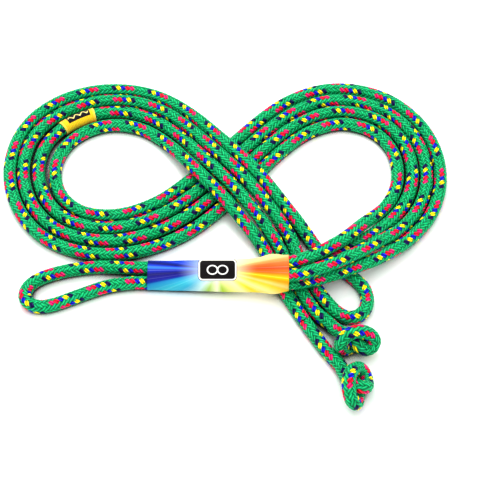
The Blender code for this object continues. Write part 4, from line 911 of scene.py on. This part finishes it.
# ---------------------------------------------------------------- materials
class Value:
    """A shader socket that takes part in arithmetic; every step adds a node."""

    def __init__(self, shader, socket):
        self.shader, self.socket = shader, socket

    def math(self, operation, other=None):
        return self.shader.math(operation, self, other)

    def __add__(self, other):
        return self.math('ADD', other)

    def __sub__(self, other):
        return self.math('SUBTRACT', other)

    def __rsub__(self, other):
        return self.shader.math('SUBTRACT', other, self)

    def __mul__(self, other):
        return self.math('MULTIPLY', other)

    def __truediv__(self, other):
        return self.math('DIVIDE', other)

    def split(self):
        node = self.shader.node('ShaderNodeSeparateXYZ')
        self.shader.feed(node.inputs[0], self)
        return [Value(self.shader, socket) for socket in node.outputs]

    def smoothstep(self, zero_at, one_at):
        node = self.shader.node('ShaderNodeMapRange', interpolation_type='SMOOTHSTEP')
        for k, value in enumerate((self, zero_at, one_at)):
            self.shader.feed(node.inputs[k], value)
        return Value(self.shader, node.outputs[0])

    def ramp(self, stops):
        """Colour ramp from stops of position and colour."""
        node = self.shader.node('ShaderNodeValToRGB')
        elements = node.color_ramp.elements
        while len(elements) > 1:
            elements.remove(elements[-1])
        elements[0].position = stops[0][0]
        elements[0].color = (*stops[0][1], 1)
        for position, colour in stops[1:]:
            elements.new(position).color = (*colour, 1)
        self.shader.feed(node.inputs[0], self)
        return Value(self.shader, node.outputs[0])


class Shader:
    """A material and the short hand for building its nodes."""

    def __init__(self, name, roughness):
        self.material = bpy.data.materials.new(name)
        self.material.use_nodes = True
        self.tree = self.material.node_tree
        self.surface = self.tree.nodes.get('Principled BSDF')
        self.set('Roughness', roughness)

    def node(self, kind, **settings):
        node = self.tree.nodes.new(kind)
        for key, value in settings.items():
            setattr(node, key, value)
        return node

    def feed(self, socket, value):
        """Link a Value, or set a colour or a number."""
        if isinstance(value, Value):
            self.tree.links.new(value.socket, socket)
        else:
            socket.default_value = (*value, 1) if isinstance(value, tuple) else value

    def set(self, name, value):
        self.feed(self.surface.inputs[name], value)

    def math(self, operation, first, second=None):
        node = self.node('ShaderNodeMath', operation=operation)
        self.feed(node.inputs[0], first)
        if second is not None:
            self.feed(node.inputs[1], second)
        return Value(self, node.outputs[0])

    def attribute(self, name, output='Vector'):
        node = self.node('ShaderNodeAttribute', attribute_name=name)
        return Value(self, node.outputs[output])

    def object_place(self):
        return Value(self, self.node('ShaderNodeTexCoord').outputs['Object'])

    def noise(self, place, detail, roughness=.5, scale=1.0):
        """Noise at a vector, or at a tuple of two or three coordinates."""
        if isinstance(place, tuple):
            joined = self.node('ShaderNodeCombineXYZ')
            for k, value in enumerate(place):
                self.feed(joined.inputs[k], value)
            place = Value(self, joined.outputs[0])
        node = self.node('ShaderNodeTexNoise')
        self.feed(node.inputs['Vector'], place)
        self.feed(node.inputs['Scale'], scale)
        self.feed(node.inputs['Detail'], detail)
        self.feed(node.inputs['Roughness'], roughness)
        return Value(self, node.outputs[0])

    def mix(self, factor, under, over):
        node = self.node('ShaderNodeMix', data_type='RGBA')
        for k, value in ((0, factor), (6, under), (7, over)):
            self.feed(node.inputs[k], value)
        return Value(self, node.outputs[2])

    def bump(self, height, strength, distance):
        node = self.node('ShaderNodeBump')
        node.inputs['Strength'].default_value = strength
        node.inputs['Distance'].default_value = distance
        self.feed(node.inputs['Height'], height)
        self.set('Normal', Value(self, node.outputs[0]))


# painted shade and light on a yarn, as brightness: from its shaded sides and dives (0) to the lit
# crown of a float (1)
CROWN_LIGHT = [(0.0, .03), (.20, .13), (.45, .68), (.72, 1.22), (1.0, 1.75)]
PAINTED_HIGHLIGHT_SHARE = .85       # strength of the painted highlight on the crowns of the floats
# painted highlight colour: the yarn colour times a gain, plus a lift
PAINTED_HIGHLIGHT_GAIN, PAINTED_HIGHLIGHT_LIFT = (1.55, 1.55, 1.55), (.09, .16, .13)


def braid_material():
    shader = Shader('braid', roughness=.45)
    colour = shader.attribute('yarn_col', 'Color')
    across, along, crown = shader.attribute('fibre').split()
    # fine fibres along each yarn, twisted a little, and slow changes of shade
    twisted = across + along * .22
    streak = shader.noise((twisted * 5.2, along * .32, 0.0), detail=2.5, roughness=.6)
    fine = shader.noise((twisted * 13.0, along * .5, 4.0), detail=1.0)
    slow = shader.noise((across * .6, along * .05, 9.0), detail=2.0)
    shade = streak * .7 + slow * .3 + .5
    # painted shade and light from the crown value; a ramp holds colours up to 1, so it carries half
    # the brightness
    shade = shade * (crown.ramp([(at, (light * .5,) * 3) for at, light in CROWN_LIGHT]) * 2.0)
    shaded = shader.node('ShaderNodeVectorMath', operation='SCALE')
    shader.feed(shaded.inputs[0], colour)
    shader.feed(shaded.inputs['Scale'], shade)
    # painted highlight: on the crowns of floats, along the streaks, the colour is mixed towards a
    # lighter copy of the yarn colour
    pale = crown.smoothstep(.62, 1.0) * streak.smoothstep(.40, .66)
    light = shader.node('ShaderNodeVectorMath', operation='MULTIPLY_ADD')
    shader.feed(light.inputs[0], colour)
    light.inputs[1].default_value = PAINTED_HIGHLIGHT_GAIN
    light.inputs[2].default_value = PAINTED_HIGHLIGHT_LIFT
    shader.set('Base Color', shader.mix(pale * PAINTED_HIGHLIGHT_SHARE, Value(shader, shaded.outputs[0]),
                                        Value(shader, light.outputs[0])))
    shader.set('Specular IOR Level', .16)
    shader.set('Sheen Weight', .02)
    shader.set('Roughness', fine * .22 + .26)
    shader.bump(streak + fine * .5, strength=.55, distance=.00025)
    return shader.material


def filler_material():
    shader = Shader('filler', roughness=.8)
    across, along, _ = shader.attribute('fibre').split()
    grain = shader.noise((across * 2.0, along * .2), detail=3.0)
    shader.set('Base Color', grain.ramp([(.3, (.03, .10, .06)), (.7, (.10, .22, .14))]))
    shader.bump(grain, strength=.5, distance=.0003)
    return shader.material


def mottled_material(name, stops, roughness, scale, detail, strength, distance, coat=None):
    """Colours and relief that follow one noise."""
    shader = Shader(name, roughness)
    grain = shader.noise(shader.object_place(), detail, scale=scale)
    shader.set('Base Color', grain.ramp(stops))
    shader.bump(grain, strength, distance)
    if coat is not None:
        shader.set('Coat Weight', coat)
    return shader.material


def melted_material():
    stops = [(.28, srgb(6, 84, 46)), (.5, srgb(60, 190, 120)), (.68, srgb(196, 206, 92)),
             (.8, srgb(120, 60, 70))]
    return mottled_material('melted_yarn', stops, roughness=.3, scale=700.0, detail=3.0,
                            strength=.5, distance=.0004, coat=.3)


def thread_material():
    stops = [(.3, (.012, .010, .014)), (.7, (.05, .045, .06))]
    return mottled_material('thread', stops, roughness=.7, scale=2600.0, detail=2.0,
                            strength=.5, distance=.0001)


def glue_material():
    stops = [(.3, srgb(214, 196, 148)), (.7, srgb(238, 228, 196))]
    return mottled_material('glue', stops, roughness=.35, scale=400.0, detail=3.0,
                            strength=.4, distance=.0002)


# The burst of colour on the band, in print coordinates: x to the right, y down.
BURST = (217.0, 269.5)
# the colour of the ray through each point: x, y, red, green, blue
RAYS_ABOVE = [
    (150, 269.4, 22, 52, 178), (150, 268.0, 72, 142, 240), (150, 266.4, 38, 112, 238),
    (150, 264.6, 34, 60, 190), (150, 262.6, 10, 14, 92), (160, 260, 30, 70, 205),
    (190, 261, 44, 96, 222), (214, 255, 160, 190, 240), (236, 258, 252, 240, 205),
    (262, 260, 255, 214, 150), (276, 260, 255, 168, 92), (287, 262, 255, 128, 60),
    (287, 268, 252, 96, 40)]
RAYS_BELOW = [
    (287, 273.5, 255, 120, 36), (287, 276.5, 252, 178, 30), (287, 278.5, 255, 226, 0),
    (287, 282.0, 255, 170, 10), (287, 284.6, 255, 196, 40), (287, 286.5, 238, 216, 140),
    (280, 289, 252, 206, 40), (262, 289, 246, 232, 160), (250, 289, 240, 216, 40),
    (240, 289, 250, 240, 176), (229, 289, 226, 230, 130), (222, 289, 168, 202, 40),
    (217, 289, 240, 244, 205), (209, 289, 170, 204, 80), (200, 289, 196, 226, 226),
    (184, 289, 70, 178, 206), (166, 289, 72, 190, 206), (150, 284.2, 40, 140, 190),
    (150, 282.6, 16, 34, 150), (150, 278, 34, 30, 140), (150, 274, 24, 22, 108),
    (150, 271.4, 30, 48, 178)]
PLATE_X, PLATE_Y, PLATE_CORNER = (200.0, 235.0), (260.6, 278.9), 2.9
RING_MIDDLE, RING_SPREAD, RING_R = (217.5, 269.8), 5.1, 5.0


def ray_stops(rays):
    """Ramp stops by direction: 0 and 1 point left, .5 right, .75 down."""
    return [(math.atan2(y - BURST[1], x - BURST[0]) / (2 * math.pi) + .5, srgb(*colour))
            for x, y, *colour in rays]


def print_burst(shader, x, y):
    """Coloured rays round a pale middle."""
    right, down = x - BURST[0], y - BURST[1]
    turn = down.math('ARCTAN2', right) / (2 * math.pi) + .5
    # a ramp holds at most 32 stops, so the rays above and below have their own
    above, below = turn.ramp(ray_stops(RAYS_ABOVE)), turn.ramp(ray_stops(RAYS_BELOW))
    outer = shader.mix(turn.smoothstep(.4995, .5005), above, below)
    # thin light and dark rays within each stretch
    ray = shader.noise((turn * 210.0, 0.0, 0.0), detail=3.0, roughness=.62)
    distance = (right * right + down * down * 3.0).math('SQRT')
    outer = shader.mix(ray.smoothstep(.54, .74) * .30, outer, (.80, .90, .95))
    dark = ray.smoothstep(.47, .30) * .35
    outer = shader.mix(dark, outer, shader.mix(.5, outer, (.01, .03, .20)))
    warm = x.smoothstep(205.0, 229.0)
    core = shader.mix(warm, srgb(196, 212, 240), srgb(255, 243, 206))
    core = shader.mix(y.smoothstep(279.0, 286.0) * .7, core, srgb(226, 236, 170))
    return shader.mix(distance.smoothstep(42.0, 8.0) * .90, outer, core)


def print_plate(shader, art, x, y):
    """Rounded dark plate with a pale rim and a thin dark line round it."""
    past = []
    for value, (low, high) in ((x, PLATE_X), (y, PLATE_Y)):
        past.append((value - (low + high) / 2).math('ABSOLUTE')
                    - ((high - low) / 2 - PLATE_CORNER))
    out_x, out_y = past[0].math('MAXIMUM', 0.0), past[1].math('MAXIMUM', 0.0)
    corner = (out_x * out_x + out_y * out_y).math('SQRT')
    inside = past[0].math('MAXIMUM', past[1]).math('MINIMUM', 0.0)
    edge = corner + inside - PLATE_CORNER
    for zero_at, one_at, colour in ((2.25, 1.95, srgb(30, 40, 60)), (1.75, 1.45, srgb(246, 244, 236)),
                                    (.18, -.12, srgb(22, 16, 18))):
        art = shader.mix(edge.smoothstep(zero_at, one_at), art, colour)
    return art


def print_rings(shader, art, x, y):
    """Lying figure-eight of two rings."""
    right = (x - RING_MIDDLE[0]).math('ABSOLUTE') - RING_SPREAD
    down = y - RING_MIDDLE[1]
    ring = (right * right + down * down * 1.35).math('SQRT') - RING_R
    return shader.mix(ring.math('ABSOLUTE').smoothstep(.95, .65), art, srgb(240, 240, 236))


def band_material():
    shader = Shader('band_print', roughness=.55)
    shader.set('Specular IOR Level', .12)
    x, y, inner = shader.attribute('art').split()
    art = print_burst(shader, x, y)
    art = print_plate(shader, art, x, y)
    art = print_rings(shader, art, x, y)
    paper = shader.noise((x * 2.2, y * 2.2), detail=4.0)
    art = shader.mix(paper.smoothstep(.5, .8) * .05, art, (.9, .9, .9))
    # the inner wall is bare paper
    shader.set('Base Color', shader.mix(inner, art, srgb(238, 236, 230)))
    shader.set('Roughness', paper * .15 + .45)
    shader.bump(paper, strength=.08, distance=.0002)
    return shader.material


# dark panel on the tag: middle and half size along and round the rope, and the wave in it
PANEL_ALONG, PANEL_ROUND = TAG_LONG * .53, -1.9
PANEL_HALF_ALONG, PANEL_HALF_ROUND = 10.6, 4.7
WAVE_ROUND, WAVE_LENGTH, WAVE_HEIGHT, WAVE_HALF_WIDTH = -1.5, 6.4, 1.35, .78
THREAD_ALONG, THREAD_ROUND, RIB_PITCH = .42, .36, 1.55   # pitches of the weave


def tag_material():
    shader = Shader('tag_weave', roughness=.62)
    shader.set('Specular IOR Level', .15)
    along, round_, _ = shader.attribute('tagpos').split()

    def wave_of(value, pitch):
        return (value * (2 * math.pi / pitch)).math('SINE')

    weave = wave_of(along, THREAD_ALONG) * wave_of(round_, THREAD_ROUND)
    patchy = shader.noise((along * 1.4, round_ * 5.0), detail=3.0)
    fine = shader.noise((along * 6.0, round_ * 1.2), detail=2.0)
    base = patchy.ramp([(.25, srgb(250, 178, 12)), (.45, srgb(262, 216, 20)),
                        (.62, srgb(275, 240, 52)), (.8, srgb(275, 256, 140))])
    base = shader.mix(weave.smoothstep(-.2, .9) * .30, base, srgb(255, 236, 120))
    base = shader.mix(fine.smoothstep(.55, .75) * .35, base, srgb(226, 138, 6))
    rib = wave_of(along, RIB_PITCH)
    base = shader.mix(rib.smoothstep(.1, -.9) * .40, base, srgb(224, 140, 0))
    hem = along.math('MINIMUM', TAG_LONG - along)
    base = shader.mix(hem.smoothstep(2.2, 1.2) * .35, base, srgb(255, 243, 150))
    # a dark woven panel with one pale wave in it, near the crown of the rope
    past_along = (along - PANEL_ALONG).math('ABSOLUTE') - PANEL_HALF_ALONG
    past_round = (round_ - PANEL_ROUND).math('ABSOLUTE') - PANEL_HALF_ROUND
    panel = past_along.math('MAXIMUM', past_round).smoothstep(.12, -.12)
    cloth = shader.mix(panel, base, srgb(20, 10, 30))
    wave = wave_of(along - PANEL_ALONG, WAVE_LENGTH) * WAVE_HEIGHT + WAVE_ROUND
    past_wave = (round_ - wave).math('ABSOLUTE') - WAVE_HALF_WIDTH
    inside = (past_along + 1.0).smoothstep(.12, -.12)
    cloth = shader.mix(past_wave.smoothstep(.12, -.12) * inside, cloth, srgb(255, 240, 150))
    shader.set('Base Color', cloth)
    shader.set('Sheen Weight', .25)
    shader.bump(weave + fine * .8, strength=.45, distance=.00016)
    return shader.material


def floor_material():
    shader = Shader('floor', roughness=.9)
    shader.set('Specular IOR Level', .1)
    # painted shade: an occlusion node darkens the floor colour in narrow gaps between the strands,
    # and the open floor stays plain
    occlusion = shader.node('ShaderNodeAmbientOcclusion', samples=12)
    occlusion.inputs['Distance'].default_value = .012
    openness = Value(shader, occlusion.outputs['AO'])
    shader.set('Base Color', openness.ramp([
        (.22, (.012, .014, .012)), (.34, (.22, .22, .22)), (.42, (.93, .93, .93))]))
    return shader.material


# ---------------------------------------------------------------- pieces of rope
# hinge of each moving body: x, y, direction across it, and how far the rope bends before and after
HINGES = {
    'left_loop': (-78.0, 0.0, (-1.0, 0.0), 13.0, 18.0),
    'right_loop': (110.0, 18.5, (.8, .6), 13.0, 18.0),
    'bight_b': (-96.0, -103.0, (-1.0, 0.0), 11.0, 24.0),
    'bight_a': (89.0, -116.7, (.424, -.906), 8.0, 8.0),
    'tail_3': (60.5, -127.0, (.46, -.888), 8.5, 10.0),
    'tail_4': (48.5, -130.0, (.5, -.866), 12.0, 13.0),
    'knot_2': (67.5, -162.5, (.56, -.829), 15.0, 13.0)}


def attach(ob, parent, child):
    x, y, way, before, after = HINGES[child]
    way = np.array([*way, 0.0])
    way /= norm(way)
    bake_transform(ob)


def nearest(rope, run, x, y):
    points = rope.run(run)
    away = np.hypot(rope.points[points, 0] - x, rope.points[points, 1] - y)
    return rope.along[points[np.argmin(away)]]


def band_crossing(rope, run):
    """Where a strand passes x = -10 inside the band."""
    points = rope.run(run)
    y = rope.points[points, 1]
    points = points[(y > BAND_Y[0]) & (y < BAND_Y[1])]
    return rope.along[points[np.argmin(np.abs(rope.points[points, 0] + 10.0))]]


def under_crossing(rope, run):
    """Where a strand of the lower bundle passes under the middle of the upper one."""
    points = rope.run(run)
    x, y, z = rope.points[points].T
    low = points[(np.hypot(x + 2, y + 3) < 42) & (z < 8.5)]
    off = np.abs((rope.points[low, :2] - np.array([0.0, 2.0])) @ np.array([.68, .73]))
    return rope.along[low[np.argmin(off)]]


def strand_3_front(rope):
    """Last point of strand 3 that lies low at the front."""
    points = rope.run('strand_3')
    low = points[(rope.points[points, 2] < 9) & (rope.points[points, 1] < -80)]
    return rope.along[low[-1]]


def rope_pieces(rope):
    """Pieces in order: name, run where it ends, parent and child bodies, colours, CAD nodes."""
    bight_a = rope.run('bight_a')
    pin = rope.along[int(np.mean(rope.run('bight_c')))]
    # the coloured yarns come in the opposite order between the two folds in the band
    return [
        ('knot_2', nearest(rope, 'tail_4', 58.5, -147.5), 'tail_4', 'knot_2', COLOURED,
         ['knot_2']),
        ('tail_4', nearest(rope, 'tail_4', 36.0, -104.5), 'base', 'tail_4', COLOURED,
         ['tail_4']),
        ('strand_4_left', under_crossing(rope, 'strand_4'), 'base', 'left_loop', COLOURED,
         ['strand_4_middle', 'strand_4_left_loop']),
        ('strand_4_right', band_crossing(rope, 'strand_4'), 'base', 'right_loop', COLOURED,
         ['strand_4_crossing', 'strand_4_right_loop', 'strand_4_banded']),
        ('bight_b', band_crossing(rope, 'strand_1'), 'base', 'bight_b', TURNED,
         ['bight_b']),
        ('strand_1_right', under_crossing(rope, 'strand_1'), 'base', 'right_loop', TURNED,
         ['strand_1_banded', 'strand_1_right_loop', 'strand_1_crossing']),
        ('strand_1_left', rope.along[bight_a[0] + 13], 'base', 'left_loop', TURNED,
         ['strand_1_left_loop', 'strand_1_middle']),
        ('bight_a', rope.along[bight_a[-1] - 9], 'base', 'bight_a', TURNED,
         ['bight_a']),
        ('strand_2_left', under_crossing(rope, 'strand_2'), 'base', 'left_loop', TURNED,
         ['strand_2_middle', 'strand_2_left_loop']),
        ('strand_2_right', pin, 'base', 'right_loop', TURNED,
         ['strand_2_crossing', 'strand_2_right_loop', 'strands_2_3_banded']),
        ('strand_3_right', under_crossing(rope, 'strand_3'), 'base', 'right_loop', COLOURED,
         ['strand_3_right_loop', 'strand_3_crossing']),
        ('strand_3_left', strand_3_front(rope), 'base', 'left_loop', COLOURED,
         ['strand_3_left_loop', 'strand_3_middle']),
        ('knot_1', rope.length, 'base', 'tail_3', COLOURED,
         ['knot_1'])]


def build_rope(rope):
    braid_look, filler_look = braid_material(), filler_material()
    start = 0.0
    for name, stop, parent, child, order, nodes in rope_pieces(rope):
        cover = braid(rope, 'braid_' + name, start, stop, order)
        core = filler(rope, 'filler_' + name, start, stop)
        for ob, look, kind in ((cover, braid_look, 'cover_'), (core, filler_look, 'core_')):
            ob.data.materials.append(look)
            attach(ob, parent, child)
            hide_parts(*[kind + node for node in nodes])
            kind + nodes[0]
        start = stop


def dress(ob, material, body, node):
    """Give a single piece its material and its moving body, and hide the CAD node it stands for."""
    ob.data.materials.append(material)
    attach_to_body(ob, body)
    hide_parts(node)


rope = Rope()
build_rope(rope)
melted_look = melted_material()
dress(melted_end(rope, 'end_2', 0, -1), melted_look, 'knot_2', 'melted_end_2')
dress(melted_end(rope, 'end_1', -1, 1), melted_look, 'tail_3', 'melted_end_1')
dress(band(rope), band_material(), 'base', 'paper_band')
dress(band_glue(rope), glue_material(), 'base', 'band_glue')
dress(woven_tag(rope), tag_material(), 'left_loop', 'woven_tag')
dress(stitching(rope), thread_material(), 'left_loop', 'tag_stitching')


# ---------------------------------------------------------------- floor, light and camera (m)
FLOOR_HALF, FLOOR_DROP = 6, .0002


def build_floor():
    mesh = bpy.data.meshes.new('floor')
    corners = [(x * FLOOR_HALF, y * FLOOR_HALF, 0) for x, y in ((-1, -1), (1, -1), (1, 1), (-1, 1))]
    mesh.from_pydata(corners, [], [(0, 1, 2, 3)])
    floor = link(bpy.data.objects.new('floor', mesh))
    mesh.materials.append(floor_material())
    floor.location = (0, 0, -FLOOR_DROP)


def point_at(ob, place, aim):
    """Put a light or camera at a place, looking at another."""
    ob.location = place
    ob.rotation_mode = 'QUATERNION'
    ob.rotation_quaternion = (Vector(aim) - Vector(place)).to_track_quat('-Z', 'Y')


def area_light(name, place, aim, size, power):
    lamp = bpy.data.lights.new(name, 'AREA')
    lamp.energy = power
    lamp.shape = 'RECTANGLE'
    lamp.size = size
    lamp.size_y = size
    point_at(link(bpy.data.objects.new(name, lamp)), place, aim)


build_floor()
area_light('key', place=(-.35, .85, 1.35), aim=(0, -.02, 0), size=.55, power=9.5)
area_light('fill', place=(.9, -.9, 1.3), aim=(0, -.05, 0), size=1.2, power=1.5)
area_light('top', place=(.1, .1, 1.9), aim=(0, 0, 0), size=1.6, power=11.5)

scene = bpy.context.scene
world = bpy.data.worlds.new('world')
world.use_nodes = True
background = world.node_tree.nodes['Background']
background.inputs['Color'].default_value = (1, 1, 1, 1)
background.inputs['Strength'].default_value = 1.15
scene.world = world
scene.view_settings.view_transform = 'Standard'
scene.view_settings.gamma = .80

camera_data = bpy.data.cameras.new('camera')
camera_data.lens = LENS
camera_data.sensor_width = SENSOR
camera_data.clip_start, camera_data.clip_end = .05, 20
camera = link(bpy.data.objects.new('camera', camera_data))
point_at(camera, to_world(CAMERA_AT), to_world(CAMERA_AIM))
scene.camera = camera
